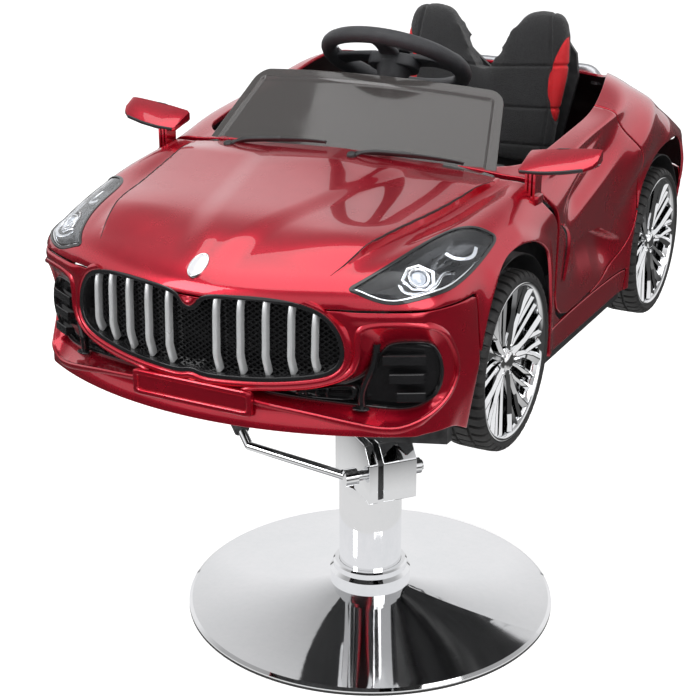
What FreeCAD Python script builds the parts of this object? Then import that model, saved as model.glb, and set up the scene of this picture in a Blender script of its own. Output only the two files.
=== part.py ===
import FreeCAD, Part
import math
import os

# A child's chair for a hair salon: a small sports car body on a foot-pumped hydraulic column.
# Millimetres. Origin: centre of the base on the floor. +Z up, the car's nose towards -Y.
V = FreeCAD.Vector
os.makedirs("parts", exist_ok=True)

# Clearances
running_fit = 0.05
stand_off = 0.3
shut_line = 3.0
door_front_gap = 7.5
overrun = 4.0

# Base disc, its ring, weight and fixings
base_radius = 282.0
base_rim_height = 9.0
base_rise = 30.0
base_skin = 3.0
base_bead = 5.0
ring_height = 4.0
ring_width = 14.0
weight_radius = 96.0
weight_thickness = 9.0
flange_radius = 58.0
flange_thickness = 8.0
base_bolt_radius = 4.0
base_bolt_head_radius = 6.5
base_bolt_head_height = 2.5
base_bolt_recess = 3.0
base_bolt_circle = 50.0
base_bolt_count = 6

# Column, pump cylinder and ram
collar_radius = 62.0
collar_height = 36.0
collar_chamfer = 5.0
collar_band = 20.0
sleeve_radius = 48.0
sleeve_wall = 3.0
sleeve_overlap = 26.0
cylinder_radius = 42.0
cylinder_bore = 30.0
cylinder_top = 188.0
cylinder_floor = 6.0
bush_height = 24.0
ram_radius = 20.0
piston_height = 14.0
piston_lift = 4.0

# Pump head: housing, lever, plunger and neck
housing_bottom = 200.0
housing_width = 76.0
housing_front = 85.0
housing_back = 52.0
housing_face_height = 63.0
housing_height = 88.0
housing_yaw = 50.0
lever_shaft_radius = 8.0
lever_shaft_offset = 58.0
lever_shaft_height = 38.0
lever_shaft_left = 30.0
lever_shaft_right = 20.0
lever_rod_radius = 7.0
lever_rod_length = 172.0
lever_rod_rise = 14.0
lever_tail_length = 78.0
lever_tail_rise = 34.0
lever_boss_radius = 13.0
lever_boss_width = 20.0
pedal_radius = 12.0
pedal_length = 46.0
rocker_width = 14.0
rocker_reach = 15.0
rocker_tip_radius = 4.0
rocker_pocket_gap = 2.0
plunger_radius = 6.0
plunger_length = 22.0
lever_nut_radius = 12.0
lever_nut_width = 12.0
neck_radius = 25.0
neck_height = 26.0
neck_flute_radius = 2.5
neck_flute_count = 18
mount_plate_size = 210.0
mount_plate_thickness = 8.0
mount_bolt_radius = 5.0
mount_bolt_head_radius = 9.0
mount_bolt_head_height = 6.0

# Chassis
pan_bottom = 448.0
pan_thickness = 5.0
pan_wall = 4.0
pan_half_width = 280.0
pan_waist_half_width = 178.0
pan_lip = 30.0
rail_width = 40.0
rail_height = 24.0
rail_wall = 2.5
rail_spacing = 150.0
well_wall_height = 190.0
well_axle_hole = 34.0

# Car body
half_width = 300.0
body_length = 1090.0
nose_y = -470.0
sill_z = 460.0
body_rise = 330.0
body_skin = 5.0
nose_corner_y = -384.0
nose_side_y = -325.0
tail_corner_y = 566.0
tail_corner_x = 235.0
tail_bow = 16.0
door_inner_x = 256.0
door_flange = 16.0
hinge_pin_radius = 3.0
hinge_low_height = 124.0
hinge_high_height = 144.0
hinge_arm_width = 8.0
hinge_arm_thickness = 5.0
hinge_crank_x = 40.0
hinge_crank_y = 12.0
hinge_end_x = 14.0
hinge_end_y = 27.0
grille_setback = 20.0
surround_wall = 3.0
grille_thickness = 4.0
grille_bar_width = 7.0
grille_bar_depth = 12.0
grille_bar_kink = 6.0
plate_half_width = 84.0
plate_height = 33.0
plate_depth = 9.0
badge_half_width = 15.0
badge_half_height = 20.0
badge_depth = 9.0
intake_depth = 46.0
intake_back = 4.0
louvre_height = 5.0
louvre_depth = 22.0
lamp_floor = 26.0
glass_thickness = 4.0
wiper_width = 7.0
wiper_height = 20.0
dash_depth = 92.0
dash_height = 92.0
dash_wall = 6.0

# Seat
seat_half_width = 148.0
seat_front_y = 150.0
seat_base_height = 112.0
seat_wall = 5.0
seat_cushion_height = 46.0
back_thickness = 46.0
back_half_width = 158.0
back_height = 242.0
back_lean = 6.0
back_shell_thickness = 8.0
hoop_radius = 10.0
hoop_half_width = 163.0
hoop_foot_z = 670.0
hoop_top_z = 756.0
hoop_corner = 34.0
hoop_y = 481.0

# Steering
wheel_ring_radius = 98.0
wheel_tube_radius = 11.0
wheel_tilt = 30.0
wheel_centre_y = 72.0
wheel_centre_z = 822.0
wheel_hub_radius = 30.0
wheel_hub_depth = 26.0
wheel_spoke_width = 22.0
wheel_spoke_depth = 10.0
horn_radius = 24.0
horn_height = 9.0
horn_travel = 3.0
horn_rim_gap = 0.6
steering_shaft_radius = 8.0
steering_shaft_length = 372.0
bracket_wall = 5.0
bracket_length = 96.0
bracket_start = 70.0

# Axles and wheels
front_axle_y = -168.0
wheelbase = 600.0
axle_z = 501.0
tyre_radius = 118.0
tyre_width = 66.0
tyre_outer_x = 294.0
rim_radius = 104.0
rim_lip = 7.0
rim_dish = 16.0
rim_hub_radius = 20.0
rim_spokes = 10
rim_spoke_width = 11.0
rim_spoke_depth = 12.0
axle_radius = 6.0
beam_height = 26.0
beam_width = 26.0
kingpin_x = 203.0
kingpin_radius = 5.0
kingpin_eye_radius = 13.0
yoke_thickness = 7.0
steer_arm_length = 40.0
steer_arm_width = 16.0
steer_arm_thickness = 5.0
tie_pin_radius = 4.0
tie_slot_play = 1.2
tie_rod_width = 18.0
tie_rod_thickness = 5.0
stand_half_width = 12.0

# Mirrors
mirror_pivot_x = 277.0
mirror_pivot_y = -98.0
mirror_pivot_z = 727.0
mirror_stalk_radius = 9.0
mirror_stalk_height = 36.0
mirror_pin_radius = 3.0
mirror_pin_height = 9.0
mirror_reach = 80.0
mirror_inner = 17.0
mirror_height = 30.0
mirror_depth = 34.0

# Half sections of the car body: share of the length from the nose, then outline points
# from the sill to the middle of the roof line, each as a share of the half width and of
# the rise above the sill.
body_section_shares = [
    (0.0, [(0.893, 0.0), (0.933, 0.182), (0.947, 0.333), (0.920, 0.442),
           (0.787, 0.509), (0.533, 0.552), (0.267, 0.576), (0.0, 0.585)]),
    (0.078, [(0.933, 0.0), (0.967, 0.212), (0.973, 0.394), (0.953, 0.509),
             (0.840, 0.606), (0.557, 0.673), (0.283, 0.691), (0.0, 0.697)]),
    (0.165, [(0.953, 0.020), (0.987, 0.242), (0.993, 0.455), (0.970, 0.576),
             (0.887, 0.673), (0.650, 0.709), (0.333, 0.733), (0.0, 0.739)]),
    (0.284, [(0.960, 0.024), (0.993, 0.303), (1.003, 0.530), (0.980, 0.630),
             (0.923, 0.709), (0.787, 0.745), (0.400, 0.773), (0.0, 0.785)]),
    (0.349, [(0.953, 0.015), (0.980, 0.303), (0.993, 0.545), (0.973, 0.652),
             (0.920, 0.733), (0.813, 0.776), (0.407, 0.806), (0.0, 0.821)]),
    (0.431, [(0.947, 0.009), (0.953, 0.273), (0.973, 0.561), (0.967, 0.697),
             (0.933, 0.773), (0.873, 0.818), (0.433, 0.842), (0.0, 0.855)]),
    (0.541, [(0.947, 0.006), (0.940, 0.258), (0.967, 0.545), (0.963, 0.727),
             (0.937, 0.818), (0.873, 0.867), (0.433, 0.897), (0.0, 0.909)]),
    (0.615, [(0.947, 0.006), (0.947, 0.258), (0.973, 0.545), (0.973, 0.727),
             (0.947, 0.842), (0.873, 0.897), (0.433, 0.933), (0.0, 0.945)]),
    (0.706, [(0.953, 0.009), (0.980, 0.303), (1.003, 0.561), (1.000, 0.697),
             (0.953, 0.842), (0.840, 0.958), (0.500, 1.000), (0.0, 1.006)]),
    (0.829, [(0.960, 0.018), (0.993, 0.333), (1.013, 0.576), (1.000, 0.691),
             (0.907, 0.782), (0.733, 0.864), (0.400, 0.945), (0.0, 0.955)]),
    (0.917, [(0.933, 0.030), (0.967, 0.303), (0.987, 0.545), (0.960, 0.630),
             (0.850, 0.697), (0.667, 0.752), (0.333, 0.794), (0.0, 0.812)]),
    (1.0, [(0.873, 0.055), (0.900, 0.273), (0.920, 0.485), (0.893, 0.545),
           (0.783, 0.591), (0.600, 0.618), (0.300, 0.642), (0.0, 0.655)]),
]

# Outlines on the body, as shares of half width (x), length from the nose (y), rise (z)
door_outline_shares = [
    (0.353, 1.10), (0.353, 0.764), (0.362, 0.712), (0.394, 0.621), (0.403, 0.461),
    (0.423, 0.118), (0.554, 0.118), (0.610, 0.142), (0.672, 0.209), (0.691, 0.300),
    (0.7055, 0.4545), (0.702, 0.600), (0.677, 0.703), (0.635, 0.812), (0.615, 0.909),
    (0.615, 1.10)]
grille_outline_shares = [
    (0.0, 0.497), (0.080, 0.527), (0.533, 0.548), (0.650, 0.373), (0.537, 0.282),
    (0.267, 0.245), (0.0, 0.233)]
intake_outline_shares = [
    (0.683, 0.388), (0.935, 0.415), (0.945, 0.294), (0.885, 0.161), (0.633, 0.121),
    (0.573, 0.182), (0.683, 0.303)]
bumper_foot_shares = [
    (1.1, -0.2), (1.1, 0.180), (0.970, 0.160), (0.870, 0.078), (0.660, 0.066), (0.340, 0.016),
    (0.200, 0.0), (0.200, -0.2)]
lamp_plan_shares = [
    (0.617, 0.0385), (0.683, 0.088), (0.753, 0.139), (0.840, 0.172), (0.883, 0.194),
    (0.937, 0.2275), (1.05, 0.250), (1.05, -0.02), (0.617, -0.02)]
lamp_front_shares = [(0.617, 0.606), (0.727, 0.536), (1.05, 0.536), (1.05, 1.0), (0.617, 1.0)]
lamp_side_shares = [(-0.02, 0.536), (0.062, 0.536), (0.2275, 0.660), (0.250, 1.0), (-0.02, 1.0)]
cockpit_plan_shares = [(0.813, 0.3505), (0.853, 0.486), (0.853, 0.610), (0.783, 0.720),
                       (0.600, 0.861)]
hinge_foot_share = 0.960
hinge_head_share = 0.920
bumper_top_share = 0.532
bumper_rear_share = 0.148
sill_top_share = 0.112
rear_bumper_top_share = 0.40
rear_bumper_front_share = 0.955
body_middle_share = 0.52
front_arch_shares = [(-1.27, -0.40), (-1.23, 0.33), (-0.80, 1.19), (-0.14, 1.385),
                     (0.60, 1.11), (0.985, 0.37), (1.14, -0.40)]
rear_arch_shares = [(-1.10, -0.40), (-1.21, 0.50), (-0.87, 1.22), (-0.10, 1.44),
                    (0.79, 1.22), (1.19, 0.50), (1.27, -0.40)]

# Places that several pieces share
base_top = base_rise
collar_top = base_top + collar_height
housing_top = housing_bottom + housing_height
rear_axle_y = front_axle_y + wheelbase
seat_back_y = rear_axle_y - beam_width / 2 - stand_off
pan_top = pan_bottom + pan_thickness
rail_bottom = pan_bottom - rail_height
mount_plate_bottom = rail_bottom - mount_plate_thickness
yaw = math.radians(housing_yaw)
housing_forward = V(math.sin(yaw), -math.cos(yaw), 0)
housing_side = V(-math.cos(yaw), -math.sin(yaw), 0)
lever_shaft_z = housing_bottom + lever_shaft_height
tilt = math.radians(wheel_tilt)
steering_axis = V(0, math.sin(tilt), math.cos(tilt))
steering_centre = V(0, wheel_centre_y, wheel_centre_z)
UP = V(0, 0, 1)
ACROSS = V(1, 0, 0)


def write(name, *solids):
    """Write one sub-part, made of one or more solids."""
    flat = []
    for solid in solids:
        flat += solid.Solids
    shape = flat[0] if len(flat) == 1 else Part.makeCompound(flat)
    shape.exportStep("parts/" + name + ".step")


def block(x0, x1, y0, y1, z0, z1):
    """Box between two corners."""
    return Part.makeBox(x1 - x0, y1 - y0, z1 - z0, V(x0, y0, z0))


def disc(radius, height, centre, axis=UP):
    """Cylinder that starts at a point and runs along an axis."""
    return Part.makeCylinder(radius, height, centre, axis)


def tube(outer, inner, height, centre, axis=UP):
    """Ring or pipe."""
    return disc(outer, height, centre, axis).cut(disc(inner, height, centre, axis))


def polygon(points):
    """Closed wire of straight runs."""
    return Part.makePolygon(points + [points[0]])


def prism(points, along):
    """Closed outline pushed along a vector."""
    return Part.Face(polygon(points)).extrude(along)


def turned(profile, centre=V(0, 0, 0), axis=UP):
    """Profile of (radius, height) points turned about Z, then laid on an axis."""
    face = Part.Face(polygon([V(r, 0, z) for r, z in profile]))
    shape = face.revolve(V(0, 0, 0), UP, 360)
    shape.Placement = FreeCAD.Placement(centre, FreeCAD.Rotation(UP, axis))
    return shape


def mirrored(shape):
    """Copy on the other side of the car's centre plane."""
    return shape.mirror(V(0, 0, 0), ACROSS)


def both(shape):
    """A piece and its mirror image."""
    return [shape, mirrored(shape)]


def body_x(share):
    return share * half_width


def body_y(share):
    return nose_y + share * body_length


def body_z(share):
    return sill_z + share * body_rise


def smooth_through(points, shares):
    """Spline through points with fixed parameters, so that every section matches."""
    curve = Part.BSplineCurve()
    curve.interpolate(Points=points, Parameters=shares)
    return curve.toShape()


def body_section(y, half_points, inset):
    """Closed cross-section of the body, drawn in by an inset."""
    shrink_x = (half_width - inset) / half_width
    points = []
    for x_share, z_share in half_points:
        x = body_x(x_share) * shrink_x
        z = body_z(z_share) - inset
        points.append(V(x, y, z))
    points[0].z = body_z(half_points[0][1]) - overrun * (1 if inset else 0)
    left = [V(-p.x, p.y, p.z) for p in points[:-1]]
    run = points + left[::-1]
    steps = [i / (len(run) - 1) for i in range(len(run))]
    roof = smooth_through(run, steps)
    floor = Part.makeLine(run[-1], run[0])
    return Part.Wire([roof, floor])


def body_loft(inset):
    """The car body's volume, drawn in all round by an inset."""
    wires = []
    for share, half_points in body_section_shares:
        wires.append(body_section(body_y(share), half_points, inset))
    return Part.makeLoft(wires, True, False)


def body_plan(inset):
    """The body's outline from above: bowed nose, straight sides, rounded tail corners."""
    wide = body_x(1.1)
    corner = body_x(0.937) - inset
    edge = body_x(1.0) - inset
    nose = nose_y + inset
    tail = nose_y + body_length - inset
    nose_corner = nose_corner_y + inset
    nose_side = nose_side_y + inset
    tail_side = tail_corner_y - inset
    tail_x = tail_corner_x - inset
    low = sill_z - body_rise
    height = body_rise * 3
    front = Part.Arc(V(-corner, nose_corner, low), V(0, nose, low), V(corner, nose_corner, low))
    run = [V(corner, nose_corner, low), V(edge, nose_side, low), V(wide, nose_side, low),
           V(wide, tail_side, low), V(edge, tail_side, low), V(tail_x, tail - tail_bow, low)]
    edges = [front.toShape()]
    edges += [Part.makeLine(a, b) for a, b in zip(run, run[1:])]
    side_end, tail_end = run[-2:]
    bulge = V(1, 1, 0).normalize() * tail_bow
    turn = Part.Arc(side_end, (side_end + tail_end) / 2 + bulge, tail_end).toShape()
    edges[-1] = turn
    back = Part.Arc(tail_end, V(0, tail, low), V(-tail_x, tail - tail_bow, low))
    edges.append(back.toShape())
    edges.append(mirrored(turn))
    mirror_run = [V(-p.x, p.y, p.z) for p in run[-2::-1]]
    edges += [Part.makeLine(a, b) for a, b in zip(mirror_run, mirror_run[1:])]
    return Part.Face(Part.Wire(edges)).extrude(V(0, 0, height))


def side_prism(shares, x0, x1, grow=0.0):
    """Outline seen from the side, pushed across the car and grown by a shut line."""
    points = [V(x0, body_y(y), body_z(z)) for y, z in shares]
    wire = polygon(points)
    if grow:
        wire = wire.makeOffset2D(grow)
    return Part.Face(wire).extrude(V(x1 - x0, 0, 0))


def front_prism(shares, y0, y1):
    """Outline seen from the front, pushed along the car."""
    points = [V(body_x(x), y0, body_z(z)) for x, z in shares]
    return prism(points, V(0, y1 - y0, 0))


def full_front_prism(shares, y0, y1, grow=0.0):
    """Half outline from the front joined to its mirror image, grown by a wall."""
    right = [V(body_x(x), y0, body_z(z)) for x, z in shares]
    left = [V(-p.x, p.y, p.z) for p in right[::-1] if p.x > 0]
    wire = polygon(right + left)
    if grow:
        wire = wire.makeOffset2D(grow)
    return Part.Face(wire).extrude(V(0, y1 - y0, 0))


def arch_prism(axle_y, shares, x0, x1):
    """Wheel opening: straight legs and a rounded top over an axle."""
    pts = [V(x0, axle_y + tyre_radius * a, axle_z + tyre_radius * b) for a, b in shares]
    edges = [Part.makeLine(pts[0], pts[1]),
             Part.Arc(pts[1], pts[2], pts[3]).toShape(),
             Part.Arc(pts[3], pts[4], pts[5]).toShape(),
             Part.makeLine(pts[5], pts[6]),
             Part.makeLine(pts[6], pts[0])]
    return Part.Face(Part.Wire(edges)).extrude(V(x1 - x0, 0, 0))


def cockpit_prism():
    """The open top of the cockpit, seen from above."""
    low = body_z(sill_top_share)
    right = [V(body_x(x), body_y(y), low) for x, y in cockpit_plan_shares]
    left = [V(-p.x, p.y, p.z) for p in right[::-1]]
    return prism(right + left, V(0, 0, body_rise))


def lamp_region():
    """Space of the car's left headlamp, bounded from above, the front and the side."""
    low = body_z(0)
    plan = prism([V(body_x(x), body_y(y), low) for x, y in lamp_plan_shares],
                 V(0, 0, body_rise))
    front = front_prism(lamp_front_shares, body_y(-0.05), body_y(0.3))
    side = side_prism(lamp_side_shares, 0, body_x(1.1))
    return plan.common(front).common(side)


def build_base():
    """Spun disc on a rubber ring, with the pump cylinder bolted to a weight inside."""
    neck = collar_radius
    inner_neck = cylinder_radius + stand_off
    top = base_top
    rim = base_radius
    crest = rim - base_bead
    bend_share = 0.55
    rise_share = 0.40
    bend = crest * bend_share
    bend_z = base_rim_height + (top - base_rim_height) * rise_share
    outer = [V(crest, 0, base_rim_height), V(bend, 0, bend_z), V(neck, 0, top)]
    skin = V(0, 0, base_skin)
    inner = [p - skin for p in outer]
    edges = [Part.makeLine(V(rim, 0, ring_height), V(rim, 0, base_rim_height - base_skin)),
             Part.makeLine(V(rim, 0, base_rim_height - base_skin), outer[0]),
             Part.Arc(*outer).toShape(),
             Part.makeLine(outer[2], V(inner_neck, 0, top)),
             Part.makeLine(V(inner_neck, 0, top), V(inner_neck, 0, top - base_skin)),
             Part.makeLine(V(inner_neck, 0, top - base_skin), inner[2]),
             Part.Arc(*inner[::-1]).toShape(),
             Part.makeLine(inner[0], V(crest, 0, ring_height)),
             Part.makeLine(V(crest, 0, ring_height), V(rim, 0, ring_height))]
    disc_face = Part.Face(Part.Wire(edges))
    write("base_disc", disc_face.revolve(V(0, 0, 0), UP, 360))
    write("floor_ring", tube(rim, rim - ring_width, ring_height, V(0, 0, 0)))

    plate_low = flange_thickness
    hub_top = top - base_skin
    hub = tube(neck, cylinder_radius, hub_top - plate_low, V(0, 0, plate_low))
    plate = tube(weight_radius, cylinder_radius, weight_thickness, V(0, 0, plate_low))
    weight = plate.fuse(hub)
    body = disc(cylinder_radius, cylinder_top, V(0, 0, 0))
    body = body.fuse(disc(flange_radius, flange_thickness, V(0, 0, 0)))
    bore_low = cylinder_floor
    body = body.cut(disc(cylinder_bore, cylinder_top - bore_low, V(0, 0, bore_low)))
    bolts = []
    for i in range(base_bolt_count):
        angle = 2 * math.pi * i / base_bolt_count
        at = V(base_bolt_circle * math.cos(angle), base_bolt_circle * math.sin(angle), 0)
        shank_top = plate_low + weight_thickness
        at.z = base_bolt_recess
        hole = disc(base_bolt_radius, shank_top - base_bolt_recess, at)
        weight = weight.cut(hole)
        recess = disc(base_bolt_head_radius + stand_off, base_bolt_recess, V(at.x, at.y, 0))
        body = body.cut([hole, recess])
        head_at = V(at.x, at.y, base_bolt_recess - base_bolt_head_height)
        bolts.append(hole.fuse(disc(base_bolt_head_radius, base_bolt_head_height, head_at)))
    write("base_weight", weight)
    write("pump_cylinder", body)
    write("base_bolts", *bolts)

    bore = sleeve_radius + stand_off
    step = collar_height - collar_band
    write("column_collar", turned([
        (bore, top), (collar_radius, top), (collar_radius, top + collar_band),
        (collar_radius - collar_chamfer, top + collar_band + collar_chamfer),
        (collar_radius - collar_chamfer, top + collar_height - collar_chamfer / 2),
        (collar_radius - collar_chamfer * 1.5, top + collar_band + step),
        (bore, top + collar_height)]))
    bush_outer = cylinder_bore - running_fit
    write("guide_bush", tube(bush_outer, ram_radius + running_fit, bush_height + running_fit,
                             V(0, 0, cylinder_top - bush_height)).fuse(
        tube(cylinder_bore + cylinder_floor, ram_radius + running_fit, base_skin,
             V(0, 0, cylinder_top + running_fit))))
    return bore_low


def build_column(bore_low):
    """Sleeve, ram and fluted neck: they rise together with the car."""
    sleeve_low = collar_top - sleeve_overlap
    sleeve = tube(sleeve_radius, sleeve_radius - sleeve_wall, housing_bottom - sleeve_low,
                  V(0, 0, sleeve_low))
    write("column_sleeve", sleeve)
    ram_low = bore_low + piston_lift
    ram = disc(ram_radius, mount_plate_bottom - ram_low, V(0, 0, ram_low))
    piston = disc(cylinder_bore - stand_off, piston_height, V(0, 0, ram_low))
    write("ram", ram.fuse(piston))
    neck = tube(neck_radius, ram_radius, neck_height, V(0, 0, housing_top))
    for i in range(neck_flute_count):
        angle = 2 * math.pi * i / neck_flute_count
        at = V(neck_radius * math.cos(angle), neck_radius * math.sin(angle), housing_top)
        neck = neck.cut(disc(neck_flute_radius, neck_height, at))
    write("neck_nut", neck)


def housing_point(forward, side, z):
    """Point from distances along the housing's own directions."""
    p = housing_forward * forward + housing_side * side
    return V(p.x, p.y, z)


def build_pump_head():
    """Housing with its lever shaft, rocker pocket and plunger."""
    half = housing_width / 2
    slope_share = 0.45
    face_top = housing_bottom + housing_face_height
    profile = [(housing_front, housing_bottom), (housing_front, face_top),
               (housing_front * slope_share, housing_top), (-housing_back, housing_top),
               (-housing_back, housing_bottom)]
    body = prism([housing_point(a, -half, z) for a, z in profile],
                 housing_side * housing_width)
    edges = [e for e in body.Edges if e.Length < housing_width + overrun
             and abs(e.tangentAt(e.FirstParameter).z) > 0.99]
    body = body.makeFillet(sleeve_wall, edges)
    body = body.cut(disc(ram_radius, housing_height, V(0, 0, housing_bottom)))
    shaft_at = housing_point(lever_shaft_offset, -half, lever_shaft_z)
    shaft_bore = disc(lever_shaft_radius + running_fit, housing_width, shaft_at, housing_side)
    body = body.cut(shaft_bore)
    pocket_half = rocker_width / 2 + rocker_pocket_gap
    pocket_low = housing_bottom + plunger_length * 0.7
    pocket_back = lever_shaft_offset - rocker_reach - rocker_tip_radius * 2
    pocket_front = lever_shaft_offset + lever_shaft_radius * 1.6
    pocket_top = lever_shaft_z + lever_shaft_radius * 1.6
    pocket = prism([housing_point(pocket_back, -pocket_half, pocket_low),
                    housing_point(pocket_front, -pocket_half, pocket_low),
                    housing_point(pocket_front, -pocket_half, pocket_top),
                    housing_point(pocket_back, -pocket_half, pocket_top)],
                   housing_side * (pocket_half * 2))
    body = body.cut(pocket)
    plunger_forward = lever_shaft_offset - rocker_reach
    plunger_top = lever_shaft_z - rocker_tip_radius - stand_off
    plunger_low = plunger_top - plunger_length
    bore_low = plunger_low - rocker_reach * 0.45
    body = body.cut(disc(plunger_radius + running_fit, pocket_low - bore_low,
                         housing_point(plunger_forward, 0, bore_low)))
    write("lever_housing", body)
    write("pump_plunger", disc(plunger_radius, plunger_length,
                               housing_point(plunger_forward, 0, plunger_low)))

    left_end = half + lever_shaft_left
    shaft = disc(lever_shaft_radius, left_end + half + lever_shaft_right,
                 housing_point(lever_shaft_offset, -half - lever_shaft_right, lever_shaft_z),
                 housing_side)
    rocker_half = rocker_width / 2
    rocker = prism([housing_point(lever_shaft_offset, -rocker_half, lever_shaft_z - rocker_tip_radius),
                    housing_point(lever_shaft_offset, -rocker_half, lever_shaft_z + rocker_tip_radius),
                    housing_point(plunger_forward, -rocker_half, lever_shaft_z + rocker_tip_radius),
                    housing_point(plunger_forward, -rocker_half, lever_shaft_z - rocker_tip_radius)],
                   housing_side * rocker_width)
    tip = disc(rocker_tip_radius, rocker_width,
               housing_point(plunger_forward, -rocker_half, lever_shaft_z), housing_side)
    nut = disc(lever_nut_radius, lever_nut_width,
               housing_point(lever_shaft_offset, -half - lever_shaft_right + overrun,
                             lever_shaft_z), housing_side)
    boss = disc(lever_boss_radius, lever_boss_width,
                housing_point(lever_shaft_offset, half + lever_shaft_left - lever_boss_width,
                              lever_shaft_z), housing_side)
    start = housing_point(lever_shaft_offset, half + lever_shaft_left - lever_boss_width / 2,
                          lever_shaft_z)
    knee = start + V(-lever_rod_length, 0, lever_rod_rise)
    run = math.sqrt(lever_tail_length ** 2 - lever_tail_rise ** 2)
    tail = knee + V(-run * 0.8, run * 0.6, lever_tail_rise)
    rod = disc(lever_rod_radius, (knee - start).Length, start, knee - start)
    rod = rod.fuse(Part.makeSphere(lever_rod_radius, knee))
    rod = rod.fuse(disc(lever_rod_radius, (tail - knee).Length, knee, tail - knee))
    lever = shaft.fuse([rocker, tip, nut, boss, rod])
    write("pump_lever", lever.removeSplitter())
    back = (tail - knee).normalize()
    pedal_at = tail - back * pedal_length
    pedal = disc(pedal_radius, pedal_length + pedal_radius / 2, pedal_at, back)
    pedal = pedal.cut(disc(lever_rod_radius, pedal_length, pedal_at, back))
    write("lever_pedal", pedal)


def build_mounting():
    """Top plate on the ram and the rails that carry the car's floor."""
    half = mount_plate_size / 2
    plate = block(-half, half, -half, half, mount_plate_bottom, rail_bottom)
    plate = plate.makeFillet(neck_radius, [e for e in plate.Edges
                                           if abs(e.tangentAt(0).z) > 0.99])
    y0 = front_axle_y - tyre_radius * 0.5
    y1 = rear_axle_y + tyre_radius * 0.3
    rails = []
    for side in (-1, 1):
        x = side * rail_spacing / 2
        outer = block(x - rail_width / 2, x + rail_width / 2, y0, y1, rail_bottom, pan_bottom)
        inner = block(x - rail_width / 2 + rail_wall, x + rail_width / 2 - rail_wall,
                      y0, y1, rail_bottom + rail_wall, pan_bottom - rail_wall)
        rails.append(outer.cut(inner))
    gap = rail_spacing / 2 - rail_width / 2
    for y in (y0 + rail_width, y1 - rail_width * 2, -rail_width / 2):
        rails.append(block(-gap, gap, y, y + rail_width, rail_bottom, pan_bottom))
    frame = rails[0].fuse(rails[1:])
    bolts = []
    for sx in (-1, 1):
        for sy in (-1, 1):
            at = V(sx * rail_spacing / 2, sy * half * 0.75, mount_plate_bottom)
            shank = disc(mount_bolt_radius, mount_plate_thickness + rail_wall, at)
            plate = plate.cut(shank)
            frame = frame.cut(shank)
            head_at = V(at.x, at.y, at.z - mount_bolt_head_height)
            bolts.append(shank.fuse(disc(mount_bolt_head_radius, mount_bolt_head_height,
                                         head_at)))
    write("mounting_plate", plate)
    write("mounting_bolts", *bolts)
    write("chassis_frame", frame)


def pan_outline(inset):
    """The floor pan from above: narrow between each pair of wheels."""
    wide = pan_half_width - inset
    waist = pan_waist_half_width - inset
    front = body_y(0.10) + inset
    back = body_y(0.985) - inset
    front_well_0 = front_axle_y - tyre_radius * 1.28 - inset
    front_well_1 = front_axle_y + tyre_radius * 1.16 + inset
    rear_well_0 = rear_axle_y - tyre_radius * 1.24 - inset
    rear_well_1 = rear_axle_y + tyre_radius * 1.28 + inset
    nose = wide * 0.72
    right = [(nose, front), (wide * 0.97, front + wide * 0.10), (wide * 0.97, front_well_0),
             (waist, front_well_0), (waist, front_well_1), (wide, front_well_1),
             (wide, rear_well_0), (waist, rear_well_0), (waist, rear_well_1),
             (wide * 0.9, rear_well_1), (wide * 0.8, back)]
    return right + [(-x, y) for x, y in right[::-1]]


def build_pan(skin):
    """Floor pan: a shallow tray with walls beside the wheels."""
    tray = prism([V(x, y, pan_bottom) for x, y in pan_outline(0)], V(0, 0, pan_lip + pan_thickness))
    hollow = prism([V(x, y, pan_top) for x, y in pan_outline(pan_wall)], V(0, 0, pan_lip))
    tray = tray.cut(hollow)
    walls = []
    for axle_y in (front_axle_y, rear_axle_y):
        for side in (-1, 1):
            x = side * pan_waist_half_width
            x0, x1 = sorted((x, x - side * pan_wall))
            wall = block(x0, x1, axle_y - tyre_radius * 1.1, axle_y + tyre_radius * 1.1,
                         pan_top, pan_top + well_wall_height * 0.8)
            wall = wall.cut(block(x0, x1, axle_y - well_axle_hole, axle_y + well_axle_hole,
                                  axle_z - well_axle_hole, axle_z + well_axle_hole))
            if axle_y == front_axle_y:
                wall = wall.cut(block(x0, x1, axle_y, axle_y + steer_arm_length * 2,
                                      axle_z - well_axle_hole * 1.3, axle_z))
            walls.append(wall)
    write("chassis_pan", tray.fuse(walls).removeSplitter().cut(skin))


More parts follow.
